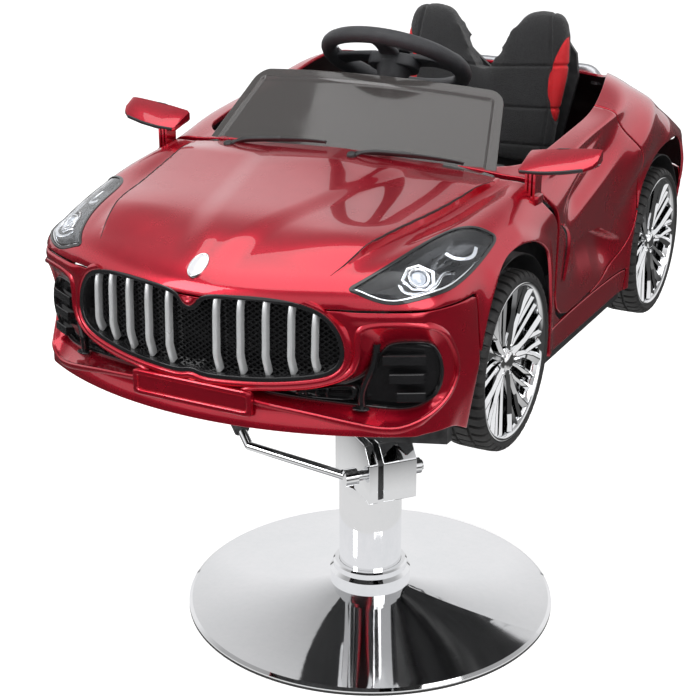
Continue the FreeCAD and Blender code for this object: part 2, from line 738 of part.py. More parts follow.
def build_body():
    """Outer panels of the car, all cut from one skin."""
    outer = body_loft(0).common(body_plan(0))
    inner = body_loft(body_skin).common(body_plan(body_skin))
    skin = outer.cut(inner)
    half_span = body_x(1.1)
    low = sill_z - body_rise * 0.2
    high = body_z(1.2)
    nose = body_y(-0.02)
    tail = body_y(1.02)

    doors = side_prism(door_outline_shares, door_inner_x - overrun, half_span, shut_line)
    door_cuts = both(doors)
    arches = []
    for axle_y, shares in ((front_axle_y, front_arch_shares), (rear_axle_y, rear_arch_shares)):
        arches += both(arch_prism(axle_y, shares, body_x(0.62), half_span))
    lamps = both(lamp_region())
    intakes = both(front_prism(intake_outline_shares, nose, body_y(0.125)))
    grille = full_front_prism(grille_outline_shares, nose, body_y(0.1))
    sills = both(block(body_x(0.8), half_span, body_y(0.405), body_y(0.693),
                       low, body_z(sill_top_share)))
    rest = skin.cut(door_cuts + arches + [cockpit_prism()] + lamps)

    split_y = body_y(bumper_rear_share)
    bumper_box = block(-half_span, half_span, nose, split_y, low, body_z(bumper_top_share))
    rear_y = body_y(rear_bumper_front_share)
    rear_box = block(-half_span, half_span, rear_y, tail, low, body_z(rear_bumper_top_share))
    middle = body_y(body_middle_share)
    front_half = block(-half_span, half_span, nose, middle, low, high)
    rear_half = block(-half_span, half_span, middle, tail, low, high)

    feet = both(front_prism(bumper_foot_shares, nose, split_y))
    bumper = rest.common(bumper_box).cut(intakes + feet + [grille])
    write("front_bumper", bumper)
    bumper_room = block(-half_span, half_span, nose, split_y + shut_line / 2, low,
                        body_z(bumper_top_share) + shut_line / 4)
    door_room = both(side_prism(door_outline_shares, door_inner_x - overrun, half_span,
                                door_front_gap))
    wings = rest.common(front_half).cut([bumper_room] + sills + door_room)
    write("front_body", wings.fuse(both(hinge_bracket(inner))))
    write("rear_bumper", rest.common(rear_box))
    write("rear_body", rest.common(rear_half).cut(
        [block(-half_span, half_span, rear_y - shut_line / 2, tail, low,
               body_z(rear_bumper_top_share) + shut_line / 4)] + sills + tail_lamp_regions()))
    write("tail_lamps", *[skin.common(r) for r in tail_lamp_regions(shut_line / 4)])
    sill_skin = skin.cut(door_cuts + arches)
    trim = shut_line / 2
    sill_cut = block(body_x(0.8), half_span, body_y(0.405) + trim, body_y(0.693) - trim, low,
                     body_z(sill_top_share) - trim / 2)
    write("sill_panels", *[sill_skin.common(s) for s in both(sill_cut)])

    lens = skin.common(lamp_region())
    write("headlamp_lenses", *both(lens))
    lamp_low = body_z(lamp_front_shares[1][1]) - lamp_floor
    pocket = inner.common(lamp_region().common(
        block(0, half_span, nose, middle, lamp_low, high)))
    write("headlamp_housings", *both(pocket))

    door = outer.common(side_prism(door_outline_shares, door_inner_x, half_span))
    hollow = inner.common(side_prism(door_outline_shares, door_inner_x - overrun, half_span,
                                     -door_flange))
    door = door.cut(hollow)
    for height in (hinge_low_height, hinge_high_height):
        door = door.fuse(hinge_arm(height))
    write("door_left", door)
    write("door_right", mirrored(door))
    return outer, inner


def flat_link(points, width, thickness):
    """Flat bar with round ends through points."""
    link = disc(width / 2, thickness, points[0])
    for a, b in zip(points, points[1:]):
        side = UP.cross(b - a).normalize() * (width / 2)
        bar = prism([a - side, b - side, b + side, a + side], UP * thickness)
        link = link.fuse([bar, disc(width / 2, thickness, b)])
    return link


def hinge_line():
    """Foot and direction of the left door's hinge, along the door's front corners."""
    head_y, head_z = door_outline_shares[1]
    foot_y, foot_z = door_outline_shares[5]
    foot = V(body_x(hinge_foot_share), body_y(foot_y), body_z(foot_z))
    head = V(body_x(hinge_head_share), body_y(head_y), body_z(head_z))
    return foot, head - foot


def on_hinge(shape):
    """Lay a shape made about the Z axis on the left door's hinge."""
    foot, direction = hinge_line()
    shape.Placement = FreeCAD.Placement(foot, FreeCAD.Rotation(UP, direction))
    return shape


def hinge_arm(height):
    """Cranked arm from the left door's front flange to its hinge pin behind the wing."""
    pin = V(0, 0, height)
    crank = V(-hinge_crank_x, hinge_crank_y, height)
    end = V(-hinge_end_x, hinge_end_y, height)
    arm = flat_link([pin, crank, end], hinge_arm_width, hinge_arm_thickness)
    arm = arm.fuse(disc(hinge_pin_radius * 2, hinge_arm_thickness, pin))
    return on_hinge(arm.cut(disc(hinge_pin_radius + running_fit, hinge_arm_thickness, pin)))


def hinge_bracket(inner):
    """Pin and two lugs that carry the left door, fixed to the inside of the wing."""
    low = hinge_low_height - hinge_arm_thickness - stand_off
    high = hinge_high_height + hinge_arm_thickness + stand_off
    pin = disc(hinge_pin_radius, high + hinge_arm_thickness - low, V(0, 0, low))
    r = hinge_pin_radius * 2
    lugs = [block(-r, r * 4, -r, r, z, z + hinge_arm_thickness) for z in (low, high)]
    return on_hinge(pin.fuse(lugs)).common(inner)


def tail_lamp_regions(shrink=0.0):
    """Spaces of the two tail lamps on the tail's upper corners."""
    x0 = body_x(0.42) + shrink
    x1 = body_x(0.90)
    z0 = body_z(0.50) + shrink
    z1 = body_z(0.60) - shrink
    lamp = block(x0, x1, body_y(0.965) + shrink, body_y(1.05), z0, z1)
    return both(lamp)


def fascia_slab(outer_gap, thickness, low, high, half_span):
    """Plate that follows the bowed nose, a set distance behind it."""
    def arc(gap):
        corner = body_x(0.937)
        return Part.Arc(V(-corner, nose_corner_y + gap, low), V(0, nose_y + gap, low),
                        V(corner, nose_corner_y + gap, low)).toShape()
    front = arc(outer_gap)
    back = arc(outer_gap + thickness)
    ends = [Part.makeLine(front.Vertexes[i].Point, back.Vertexes[i].Point) for i in (0, 1)]
    face = Part.Face(Part.Wire(Part.__sortEdges__([front, back] + ends)))
    slab = face.extrude(V(0, 0, high - low))
    return slab.common(block(-half_span, half_span, nose_y * 2, 0, low, high))


def build_nose(outer, inner):
    """Grille, its bars, the bare plate, the plain badge and the side intakes."""
    low = body_z(grille_outline_shares[-1][1]) - grille_bar_width
    high = body_z(grille_outline_shares[2][1])
    span = body_x(grille_outline_shares[3][0]) + grille_bar_width
    mesh = fascia_slab(grille_setback, grille_thickness, low, high, span)
    hole = full_front_prism(grille_outline_shares, body_y(-0.02), body_y(0.1))
    surround = full_front_prism(grille_outline_shares, body_y(-0.02), body_y(0.1), surround_wall)
    reach = fascia_slab(0, grille_setback + grille_thickness, low - surround_wall,
                        high + surround_wall, span + surround_wall)
    mesh = mesh.common(surround).fuse(surround.cut(hole).common(reach))
    write("grille_mesh", mesh.common(inner))
    bar_x_shares = (0.11, 0.213, 0.317, 0.417, 0.507)
    bars = []
    slab = fascia_slab(grille_setback - grille_bar_depth, grille_bar_depth, low, high, span)
    slab = slab.common(hole)
    half = grille_bar_width / 2
    kink_z = low + (high - low) * 0.68
    for share in bar_x_shares:
        x = body_x(share)
        lean = grille_bar_kink
        points = [V(x - half, nose_y * 1.1, low), V(x + half, nose_y * 1.1, low),
                  V(x + half - lean, nose_y * 1.1, kink_z), V(x + half, nose_y * 1.1, high),
                  V(x - half, nose_y * 1.1, high), V(x - half - lean, nose_y * 1.1, kink_z)]
        bar = slab.common(prism(points, V(0, -nose_y, 0)))
        bars += both(bar)
    write("grille_bars", *bars)

    plate_top = body_z(0.215)
    plate = fascia_slab(-plate_depth, plate_depth, plate_top - plate_height, plate_top,
                        plate_half_width)
    write("blank_plate", plate)
    tilt_back = V(0, -0.86, 0.51)
    badge_at = V(0, body_y(0.022), body_z(0.602))
    oval = Part.Ellipse(V(0, 0, 0), badge_half_height, badge_half_width).toShape()
    face = Part.Face(Part.Wire([oval]))
    badge = face.extrude(V(0, 0, badge_depth))
    turn = FreeCAD.Rotation(V(0, -1, 0), V(0, 0, 1), tilt_back, "ZYX")
    badge.Placement = FreeCAD.Placement(badge_at, turn)
    write("hood_badge", badge.cut(outer))

    x0 = body_x(0.62)
    x1 = body_x(1.0)
    y1 = nose_corner_y + intake_depth
    z0 = body_z(0.13)
    z1 = body_z(0.40)
    back = block(x0, x1, y1 - intake_back, y1, z0, z1)
    louvres = [back]
    for share in (0.30, 0.55, 0.80):
        z = z0 + (z1 - z0) * share
        louvres.append(block(x0, x1, y1 - intake_back - louvre_depth, y1 - intake_back,
                             z - louvre_height / 2, z + louvre_height / 2))
    insert = louvres[0].fuse(louvres[1:]).common(inner)
    write("intake_louvres", *both(insert))


def arc_strip(side, front, rise, thickness):
    """Closed flat outline: a bowed front line and the same line set back in its plane."""
    end = V(side[0], side[1], rise[0])
    middle = V(0, front, rise[1])
    back = V(0, end.y - middle.y, end.z - middle.z).normalize() * thickness

    def line(gap):
        return Part.Arc(V(-end.x, end.y, end.z) + gap, middle + gap, end + gap).toShape()
    a = line(V(0, 0, 0))
    b = line(back)
    ends = [Part.makeLine(a.Vertexes[i].Point, b.Vertexes[i].Point) for i in (0, 1)]
    return Part.Wire(Part.__sortEdges__([a, b] + ends))


def build_windshield(outer):
    """Smoked screen and the two wipers moulded at its foot."""
    foot = arc_strip((body_x(0.743), body_y(0.347)), body_y(0.329), (body_z(0.755), body_z(0.800)),
                     glass_thickness)
    top = arc_strip((body_x(0.627), body_y(0.446)), body_y(0.434), (body_z(1.042), body_z(1.073)),
                    glass_thickness)
    glass = Part.makeLoft([foot, top], True, True)
    write("windshield", *[s for s in glass.cut(outer).Solids if s.CenterOfMass.z > body_z(0.8)])
    wipers = []
    for x0, x1 in ((-0.62, -0.08), (0.04, 0.60)):
        start = V(body_x(x0), body_y(0.318), body_z(0.780))
        end = V(body_x(x1), body_y(0.316), body_z(0.800))
        run = end - start
        across = V(0, wiper_width, 0)
        lift = V(0, 0, wiper_height)
        face = Part.Face(polygon([start, end, end + across, start + across]))
        wipers.append(face.extrude(lift).cut(outer))
    write("wipers", *wipers)


def build_cabin(outer, inner):
    """Dashboard, steering bracket, seat shell and pads, and the hoop behind the seat."""
    y0 = body_y(0.335)
    z1 = body_z(0.815)
    profile = [(y0, z1), (y0 + dash_depth * 0.55, z1), (y0 + dash_depth, z1 - dash_height * 0.3),
               (y0 + dash_depth * 0.8, z1 - dash_height), (y0 + dash_depth * 0.8 - dash_wall, z1 - dash_height),
               (y0 + dash_depth - dash_wall, z1 - dash_height * 0.3),
               (y0 + dash_depth * 0.55 - dash_wall * 0.4, z1 - dash_wall),
               (y0, z1 - dash_wall)]
    x = body_x(0.72)
    dash = prism([V(-x, y, z) for y, z in profile], V(x * 2, 0, 0)).common(inner)
    shaft_hole = disc(steering_shaft_radius + bracket_wall, steering_shaft_length,
                      steering_centre - steering_axis * steering_shaft_length, steering_axis)
    write("dashboard", dash.cut(shaft_hole))
    bracket_at = steering_centre - steering_axis * (bracket_start + bracket_length)
    bracket = tube(steering_shaft_radius + bracket_wall, steering_shaft_radius + running_fit,
                   bracket_length, bracket_at, steering_axis)
    write("steering_bracket", bracket)

    base_top_z = pan_top + seat_base_height
    box = block(-seat_half_width, seat_half_width, seat_front_y, seat_back_y, pan_top, base_top_z)
    hollow = block(-seat_half_width + seat_wall, seat_half_width - seat_wall,
                   seat_front_y + seat_wall, seat_back_y - seat_wall, pan_top,
                   base_top_z - seat_wall)
    base = box.cut(hollow)
    lean = math.radians(back_lean)
    back_dir = V(0, math.sin(lean), math.cos(lean))
    normal = V(0, -math.cos(lean), math.sin(lean))
    foot = V(0, seat_back_y - seat_wall, base_top_z - seat_wall)
    shell_shares = [(0.72, 0.0), (0.80, 0.40), (0.92, 0.80), (0.88, 0.95), (0.74, 1.06),
                    (0.52, 1.06), (0.0, 0.80)]
    shell = back_plate(shell_shares, foot, back_dir, back_shell_thickness, V(0, 0, 0) - normal)
    write("seat_shell", base.fuse(shell))
    write("seat_cushion", cushion(base_top_z))
    pad_foot = foot + back_dir * (seat_cushion_height + seat_wall + stand_off)
    write("seat_back", back_pad(pad_foot, back_dir, normal))

    lo = hoop_foot_z
    hi = hoop_top_z
    w = hoop_half_width
    c = hoop_corner
    bend = c * (1 - math.sqrt(0.5))
    path = Part.Wire([
        Part.makeLine(V(-w, hoop_y, lo), V(-w, hoop_y, hi - c)),
        Part.Arc(V(-w, hoop_y, hi - c), V(-w + bend, hoop_y, hi - bend), V(-w + c, hoop_y, hi)).toShape(),
        Part.makeLine(V(-w + c, hoop_y, hi), V(w - c, hoop_y, hi)),
        Part.Arc(V(w - c, hoop_y, hi), V(w - bend, hoop_y, hi - bend), V(w, hoop_y, hi - c)).toShape(),
        Part.makeLine(V(w, hoop_y, hi - c), V(w, hoop_y, lo))])
    ring = Part.Wire([Part.makeCircle(hoop_radius, V(-w, hoop_y, lo), UP)])
    write("rear_hoop", path.makePipeShell([ring], True, False).cut(outer))


def back_plate(shares, foot, up, thickness, normal):
    """Flat plate on the seat back's plane, from shares of its half width and height."""
    right = [foot + ACROSS * (back_half_width * x) + up * (back_height * h) for x, h in shares]
    left = [V(-p.x, p.y, p.z) for p in right[::-1] if p.x > 0]
    return prism(right + left, normal * thickness)


def back_outline(inset, foot, up, normal, depth):
    """Twin-peaked outline of the back pad at a depth, drawn in by an inset."""
    w = back_half_width - inset
    h = back_height
    shift = foot + normal * depth
    def at(x, z):
        return shift + ACROSS * x + up * z
    lo = inset
    hi = h - inset
    right = [at(0, lo), at(w * 0.70, lo), at(w * 0.78, h * 0.30), at(w * 0.99, h * 0.68),
             at(w * 0.97, h * 0.76), at(w * 0.81, hi), at(w * 0.46, hi), at(w * 0.28, h * 0.82),
             at(0, h * 0.66 - inset * 0.4)]
    left = [V(-p.x, p.y, p.z) for p in right[1:-1]][::-1]
    return polygon(right + left)


def back_pad(foot, up, normal):
    """Back pad: widest at mid thickness and drawn in towards its face."""
    layers = [(6.0 / 46.0, 0.0), (0.0, 0.35), (1.0 / 46.0, 0.65), (8.0 / 46.0, 1.0)]
    wires = [back_outline(back_thickness * inset, foot, up, normal, back_thickness * depth)
             for inset, depth in layers]
    return Part.makeLoft(wires, True, True)


def cushion(low):
    """Seat cushion: crowned, with its sides drawn in above and below the seam."""
    half = seat_half_width - seat_wall
    y0 = seat_front_y + seat_wall
    y1 = seat_back_y - seat_wall - stand_off
    corner = seat_cushion_height * 0.8
    wires = []
    for inset_share, z_share in ((0.14, 0.0), (0.0, 0.38), (0.06, 0.74), (0.35, 0.95)):
        inset = seat_cushion_height * inset_share
        x = half - inset
        a = y0 + inset
        b = y1 - inset
        z = low + seat_cushion_height * z_share
        k = corner * (1 - math.sqrt(0.5))
        edges = []
        corners = [(x, a, -1, 1), (x, b, -1, -1), (-x, b, 1, -1), (-x, a, 1, 1)]
        points = []
        for i, (cx, cy, sx, sy) in enumerate(corners):
            along_y = V(cx, cy + sy * corner, z)
            along_x = V(cx + sx * corner, cy, z)
            middle = V(cx + sx * k, cy + sy * k, z)
            first, last = (along_x, along_y) if i % 2 == 0 else (along_y, along_x)
            points.append((first, middle, last))
        for i, (first, middle, last) in enumerate(points):
            edges.append(Part.Arc(first, middle, last).toShape())
            edges.append(Part.makeLine(last, points[(i + 1) % len(points)][0]))
        wires.append(Part.Wire(edges))
    return Part.makeLoft(wires, True, True)


def build_steering():
    """Wheel with three spokes, its shaft, and the horn pad in the hub."""
    axis = steering_axis
    centre = steering_centre
    ring = Part.makeTorus(wheel_ring_radius, wheel_tube_radius, centre, axis)
    hub_low = centre - axis * (wheel_hub_depth * 0.7)
    hub = disc(wheel_hub_radius, wheel_hub_depth, hub_low, axis)
    across = ACROSS
    down = across.cross(axis)
    spokes = []
    reach = wheel_ring_radius - wheel_tube_radius / 2
    for direction in (across, V(-1, 0, 0), V(0, 0, 0) - down):
        side = axis.cross(direction)
        start = centre - axis * (wheel_spoke_depth / 2) - side * (wheel_spoke_width / 2)
        face = Part.Face(polygon([start, start + direction * reach,
                                  start + direction * reach + side * wheel_spoke_width,
                                  start + side * wheel_spoke_width]))
        spokes.append(face.extrude(axis * wheel_spoke_depth))
    wheel = ring.fuse([hub] + spokes)
    pocket_radius = horn_radius + horn_rim_gap
    hub_top = hub_low + axis * wheel_hub_depth
    pocket_depth = horn_height * 0.5 + horn_travel + stand_off
    wheel = wheel.cut(disc(pocket_radius, wheel_hub_depth, hub_top - axis * pocket_depth, axis))
    shaft_top = hub_low + axis * (wheel_hub_depth * 0.35)
    wheel = wheel.cut(disc(steering_shaft_radius, wheel_hub_depth * 0.35, hub_low, axis))
    write("steering_wheel", wheel)
    write("horn_pad", turned([
        (0, 0), (horn_radius, 0), (horn_radius, horn_height * 0.6),
        (horn_radius * 0.8, horn_height * 0.9), (0, horn_height)],
        hub_top - axis * (horn_height * 0.5), axis))
    low = centre - axis * steering_shaft_length
    write("steering_shaft", disc(steering_shaft_radius, (shaft_top - low).Length, low, axis))


def build_front_axle():
    """Fixed beam, swivelling knuckles on kingpins, and the tie rod between their arms."""
    y = front_axle_y
    z = axle_z
    eye_half = beam_height / 2
    reach = kingpin_x - kingpin_eye_radius * 0.5
    beam = block(-reach, reach, y - beam_width / 2, y + beam_width / 2, z - eye_half, z + eye_half)
    for side in (-1, 1):
        eye_at = V(side * kingpin_x, y, z - eye_half)
        beam = beam.fuse(disc(kingpin_eye_radius, beam_height, eye_at))
    for side in (-1, 1):
        beam = beam.cut(disc(kingpin_radius + running_fit, beam_height,
                             V(side * kingpin_x, y, z - eye_half)))
    for side in (-1, 1):
        x = side * rail_spacing / 2
        beam = beam.fuse(block(x - stand_half_width, x + stand_half_width, y - beam_width / 2,
                               y + beam_width / 2, pan_top, z - eye_half))
    bearing_low = steering_centre - steering_axis * (steering_shaft_length - overrun)
    beam = beam.cut(disc(steering_shaft_radius + overrun, steering_shaft_length,
                         bearing_low - steering_axis * overrun, steering_axis))
    write("front_axle_beam", beam)

    eye_gap = stand_off
    top = z + eye_half + eye_gap
    bottom = z - eye_half - eye_gap
    yoke_r = kingpin_eye_radius
    at = V(kingpin_x, y, 0)
    pin = disc(kingpin_radius, top - bottom, V(at.x, at.y, bottom))
    upper = disc(yoke_r, yoke_thickness, V(at.x, at.y, top))
    lower = disc(yoke_r, yoke_thickness, V(at.x, at.y, bottom - yoke_thickness))
    web_x0 = kingpin_x + kingpin_eye_radius + stand_off * 3
    web_x1 = web_x0 + yoke_thickness
    web = block(web_x0, web_x1, y - yoke_r, y + yoke_r, bottom - yoke_thickness,
                top + yoke_thickness)
    upper_arm = block(kingpin_x, web_x1, y - yoke_r, y + yoke_r, top, top + yoke_thickness)
    lower_arm = block(kingpin_x, web_x1, y - yoke_r, y + yoke_r, bottom - yoke_thickness, bottom)
    stub = disc(axle_radius, tyre_outer_x - rim_dish - web_x0, V(web_x0, y, z), ACROSS)
    arm_low = bottom - yoke_thickness
    arm = block(kingpin_x - steer_arm_width / 2, kingpin_x + steer_arm_width / 2, y,
                y + steer_arm_length, arm_low, arm_low + steer_arm_thickness)
    tip = V(kingpin_x, y + steer_arm_length, arm_low)
    arm = arm.fuse(disc(steer_arm_width / 2, steer_arm_thickness, tip))
    tie_low = arm_low + steer_arm_thickness + stand_off
    tie_pin = disc(tie_pin_radius, steer_arm_thickness + tie_rod_thickness + stand_off * 2,
                   tip)
    knuckle = pin.fuse([upper, lower, web, upper_arm, lower_arm, stub, arm, tie_pin])
    knuckle = knuckle.removeSplitter()
    write("knuckle_left", knuckle)
    write("knuckle_right", mirrored(knuckle))

    half = tie_rod_width / 2
    rod = block(-kingpin_x, kingpin_x, tip.y - half, tip.y + half, tie_low,
                tie_low + tie_rod_thickness)
    for side in (-1, 1):
        end = V(side * kingpin_x, tip.y, tie_low)
        rod = rod.fuse(disc(half, tie_rod_thickness, end))
    for side in (-1, 1):
        r = tie_pin_radius + running_fit * 2
        slot = block(side * kingpin_x - r, side * kingpin_x + r, tip.y - tie_slot_play,
                     tip.y + tie_slot_play, tie_low, tie_low + tie_rod_thickness)
        for sy in (-1, 1):
            slot = slot.fuse(disc(r, tie_rod_thickness,
                                  V(side * kingpin_x, tip.y + sy * tie_slot_play, tie_low)))
        rod = rod.cut(slot)
    write("tie_rod", rod)


def build_rear_axle():
    """Rod through both rear wheels, in two stands on the floor pan."""
    y = rear_axle_y
    half_length = tyre_outer_x - rim_dish
    rod = disc(axle_radius, half_length * 2, V(-half_length, y, axle_z), ACROSS)
    for side in (-1, 1):
        x = side * rail_spacing / 2
        rod = rod.fuse(block(x - stand_half_width, x + stand_half_width, y - beam_width / 2,
                             y + beam_width / 2, pan_top, axle_z + beam_height / 2))
    write("rear_axle", rod)


def tyre_shape():
    """Low-profile tyre about the Z axis, its outer face at zero height."""
    w = tyre_width
    r = tyre_radius
    b = rim_radius
    return turned([(b, -w * 0.04), (r * 0.95, 0), (r * 0.99, -w * 0.06), (r, -w * 0.14),
                   (r, -w * 0.86), (r * 0.99, -w * 0.94), (r * 0.95, -w), (b, -w * 0.96)])


def rim_shape():
    """Dished rim about the Z axis: barrel, hub with its bore, and tapered spokes."""
    w = tyre_width
    b = rim_radius
    barrel = turned([(b, -w * 0.04), (b - rim_lip, -w * 0.02), (b - rim_lip, -w * 0.96),
                     (b, -w * 0.96)])
    hub_top = -rim_dish * 0.5
    hub_low = -rim_dish - rim_spoke_depth * 2
    hub = disc(rim_hub_radius, hub_top - hub_low, V(0, 0, hub_low))
    spokes = []
    for i in range(rim_spokes):
        half = rim_spoke_width / 2
        reach = b - rim_lip * 0.5
        profile = [V(0, -half, -rim_dish), V(reach, -half, -rim_spoke_depth * 0.4),
                   V(reach, -half, -rim_spoke_depth * 1.4), V(0, -half, -rim_dish - rim_spoke_depth)]
        spoke = prism(profile, V(0, rim_spoke_width, 0))
        spoke.rotate(V(0, 0, 0), UP, 360.0 * i / rim_spokes)
        spokes.append(spoke)
    rim = barrel.fuse([hub] + spokes)
    bore = disc(axle_radius + running_fit, rim_dish + rim_spoke_depth * 2 + stand_off,
                V(0, 0, hub_low - rim_dish))
    return rim.cut(bore)


def build_wheels():
    """Four wheels, each a tyre on a rim, laid on their axles."""
    tyre = tyre_shape()
    rim = rim_shape()
    for name, side, y in (("front_left", 1, front_axle_y), ("front_right", -1, front_axle_y),
                          ("rear_left", 1, rear_axle_y), ("rear_right", -1, rear_axle_y)):
        for kind, source in (("tyre", tyre), ("rim", rim)):
            piece = source.copy()
            piece.Placement = FreeCAD.Placement(V(side * tyre_outer_x, y, axle_z),
                                                FreeCAD.Rotation(UP, V(side, 0, 0)))
            write(kind + "_" + name, piece)


def build_mirrors(outer):
    """Door mirrors: stalks on the wings, and housings that fold back about their pins."""
    foot = V(mirror_pivot_x, mirror_pivot_y, mirror_pivot_z - mirror_stalk_height)
    stalk = Part.makeCone(mirror_stalk_radius * 1.5, mirror_stalk_radius,
                          mirror_stalk_height - stand_off, foot)
    pin = disc(mirror_pin_radius, mirror_pin_height + stand_off,
               V(mirror_pivot_x, mirror_pivot_y, mirror_pivot_z - stand_off))
    write("mirror_stalks", *both(stalk.fuse(pin).cut(outer)))

    def section(x_share, low_share, high_share, depth_share):
        x = mirror_pivot_x - mirror_inner + (mirror_reach + mirror_inner) * x_share
        z0 = mirror_pivot_z + mirror_height * low_share
        z1 = mirror_pivot_z + mirror_height * high_share
        d = mirror_depth * depth_share
        y0 = mirror_pivot_y - d * 0.45 + mirror_depth * 0.6 * x_share
        return polygon([V(x, y0, z0 + (z1 - z0) * 0.3), V(x, y0 + d * 0.3, z0),
                        V(x, y0 + d, z0), V(x, y0 + d, z1), V(x, y0 + d * 0.35, z1)])
    housing = Part.makeLoft([section(0.0, 0.10, 0.62, 0.75), section(0.30, 0.0, 1.0, 1.0),
                             section(0.80, 0.22, 1.15, 0.85), section(1.0, 0.62, 1.20, 0.4)],
                            True, True)
    housing = housing.cut(disc(mirror_pin_radius + running_fit, mirror_pin_height + stand_off,
                               V(mirror_pivot_x, mirror_pivot_y, mirror_pivot_z - stand_off)))
    write("mirror_left", housing)
    write("mirror_right", mirrored(housing))


piston_room = build_base()
build_column(piston_room)
build_pump_head()
build_mounting()
body_outer, body_inner = build_body()
build_pan(body_outer.cut(body_inner))
build_nose(body_outer, body_inner)
build_windshield(body_outer)
build_cabin(body_outer, body_inner)
build_steering()
build_front_axle()
build_rear_axle()
build_wheels()
build_mirrors(body_outer)
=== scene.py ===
import math

import bmesh
import bpy
import numpy as np
from mathutils import Matrix, Vector
from mathutils.bvhtree import BVHTree
from mathutils.kdtree import KDTree


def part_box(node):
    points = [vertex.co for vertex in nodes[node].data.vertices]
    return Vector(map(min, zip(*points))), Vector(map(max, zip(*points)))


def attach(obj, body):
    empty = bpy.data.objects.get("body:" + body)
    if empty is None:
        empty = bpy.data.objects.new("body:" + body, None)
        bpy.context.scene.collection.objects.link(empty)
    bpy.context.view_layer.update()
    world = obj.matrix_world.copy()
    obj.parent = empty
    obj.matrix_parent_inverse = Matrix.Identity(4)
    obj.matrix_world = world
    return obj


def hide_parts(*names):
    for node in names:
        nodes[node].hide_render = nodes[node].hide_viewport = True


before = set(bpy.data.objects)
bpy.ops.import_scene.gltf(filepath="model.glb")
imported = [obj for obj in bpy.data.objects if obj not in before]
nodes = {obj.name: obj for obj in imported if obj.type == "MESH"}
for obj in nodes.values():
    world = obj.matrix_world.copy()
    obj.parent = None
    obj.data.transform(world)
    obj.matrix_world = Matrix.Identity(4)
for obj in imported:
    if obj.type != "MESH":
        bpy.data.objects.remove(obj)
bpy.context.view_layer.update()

# Driving sizes of the car body, in metres. Front is -Y, the driver's left is +X.
half_width = 0.3
body_length = 1.09
nose_y = -0.47
sill_z = 0.46
body_rise = 0.33
panel_thickness = 0.004
shut_line = 0.003
door_thickness = 0.006
door_front_gap = 0.0078
shoulder_gap = 0.0048
shoulder_low, shoulder_high = 0.645, 0.672
chin_rise = 0.024
chin_back, chin_front = 0.29, 0.36
nose_corner = (0.281, -0.384)
nose_side = (0.3, -0.325)
tail_corner = (0.235, 0.604)
nose_round = 0.024
tail_round = 0.026
front_axle = (-0.168, 0.501)
rear_axle = (0.432, 0.501)
tyre_radius = 0.118
tyre_width = 0.066
tyre_outer = 0.294
wheel_centre = Vector((0.0, 0.072, 0.822))
wheel_tilt = math.radians(30)

# Half sections of the body: share of the length, then outline points from the sill to the
# middle of the roof line, as shares of the half width and of the rise above the sill
body_section_shares = [
    (0.0, [(0.893, 0.0), (0.933, 0.182), (0.947, 0.333), (0.92, 0.442),
           (0.787, 0.509), (0.533, 0.552), (0.267, 0.576), (0.0, 0.585)]),
    (0.078, [(0.933, 0.0), (0.967, 0.212), (0.973, 0.394), (0.953, 0.509),
             (0.84, 0.606), (0.557, 0.673), (0.283, 0.691), (0.0, 0.697)]),
    (0.165, [(0.953, 0.02), (0.987, 0.242), (0.993, 0.455), (0.97, 0.576),
             (0.887, 0.673), (0.65, 0.709), (0.333, 0.733), (0.0, 0.739)]),
    (0.284, [(0.96, 0.024), (0.993, 0.303), (1.003, 0.53), (0.98, 0.63),
             (0.923, 0.709), (0.787, 0.745), (0.4, 0.773), (0.0, 0.785)]),
    (0.349, [(0.953, 0.015), (0.98, 0.303), (0.993, 0.545), (0.973, 0.652),
             (0.92, 0.733), (0.813, 0.776), (0.407, 0.806), (0.0, 0.821)]),
    (0.431, [(0.947, 0.009), (0.953, 0.273), (0.973, 0.561), (0.967, 0.697),
             (0.933, 0.773), (0.873, 0.818), (0.433, 0.842), (0.0, 0.855)]),
    (0.541, [(0.947, 0.006), (0.94, 0.258), (0.967, 0.545), (0.963, 0.727),
             (0.937, 0.818), (0.873, 0.867), (0.433, 0.897), (0.0, 0.909)]),
    (0.615, [(0.947, 0.006), (0.947, 0.258), (0.973, 0.545), (0.973, 0.727),
             (0.947, 0.842), (0.873, 0.897), (0.433, 0.933), (0.0, 0.945)]),
    (0.706, [(0.953, 0.009), (0.98, 0.303), (1.003, 0.561), (1.0, 0.697),
             (0.953, 0.842), (0.84, 0.958), (0.5, 1.0), (0.0, 1.006)]),
    (0.829, [(0.96, 0.018), (0.993, 0.333), (1.013, 0.576), (1.0, 0.691),
             (0.907, 0.782), (0.733, 0.864), (0.4, 0.945), (0.0, 0.955)]),
    (0.917, [(0.933, 0.03), (0.967, 0.303), (0.987, 0.545), (0.96, 0.63),
             (0.85, 0.697), (0.667, 0.752), (0.333, 0.794), (0.0, 0.812)]),
    (1.0, [(0.873, 0.055), (0.9, 0.273), (0.92, 0.485), (0.893, 0.545),
           (0.783, 0.591), (0.6, 0.618), (0.3, 0.642), (0.0, 0.655)]),
]

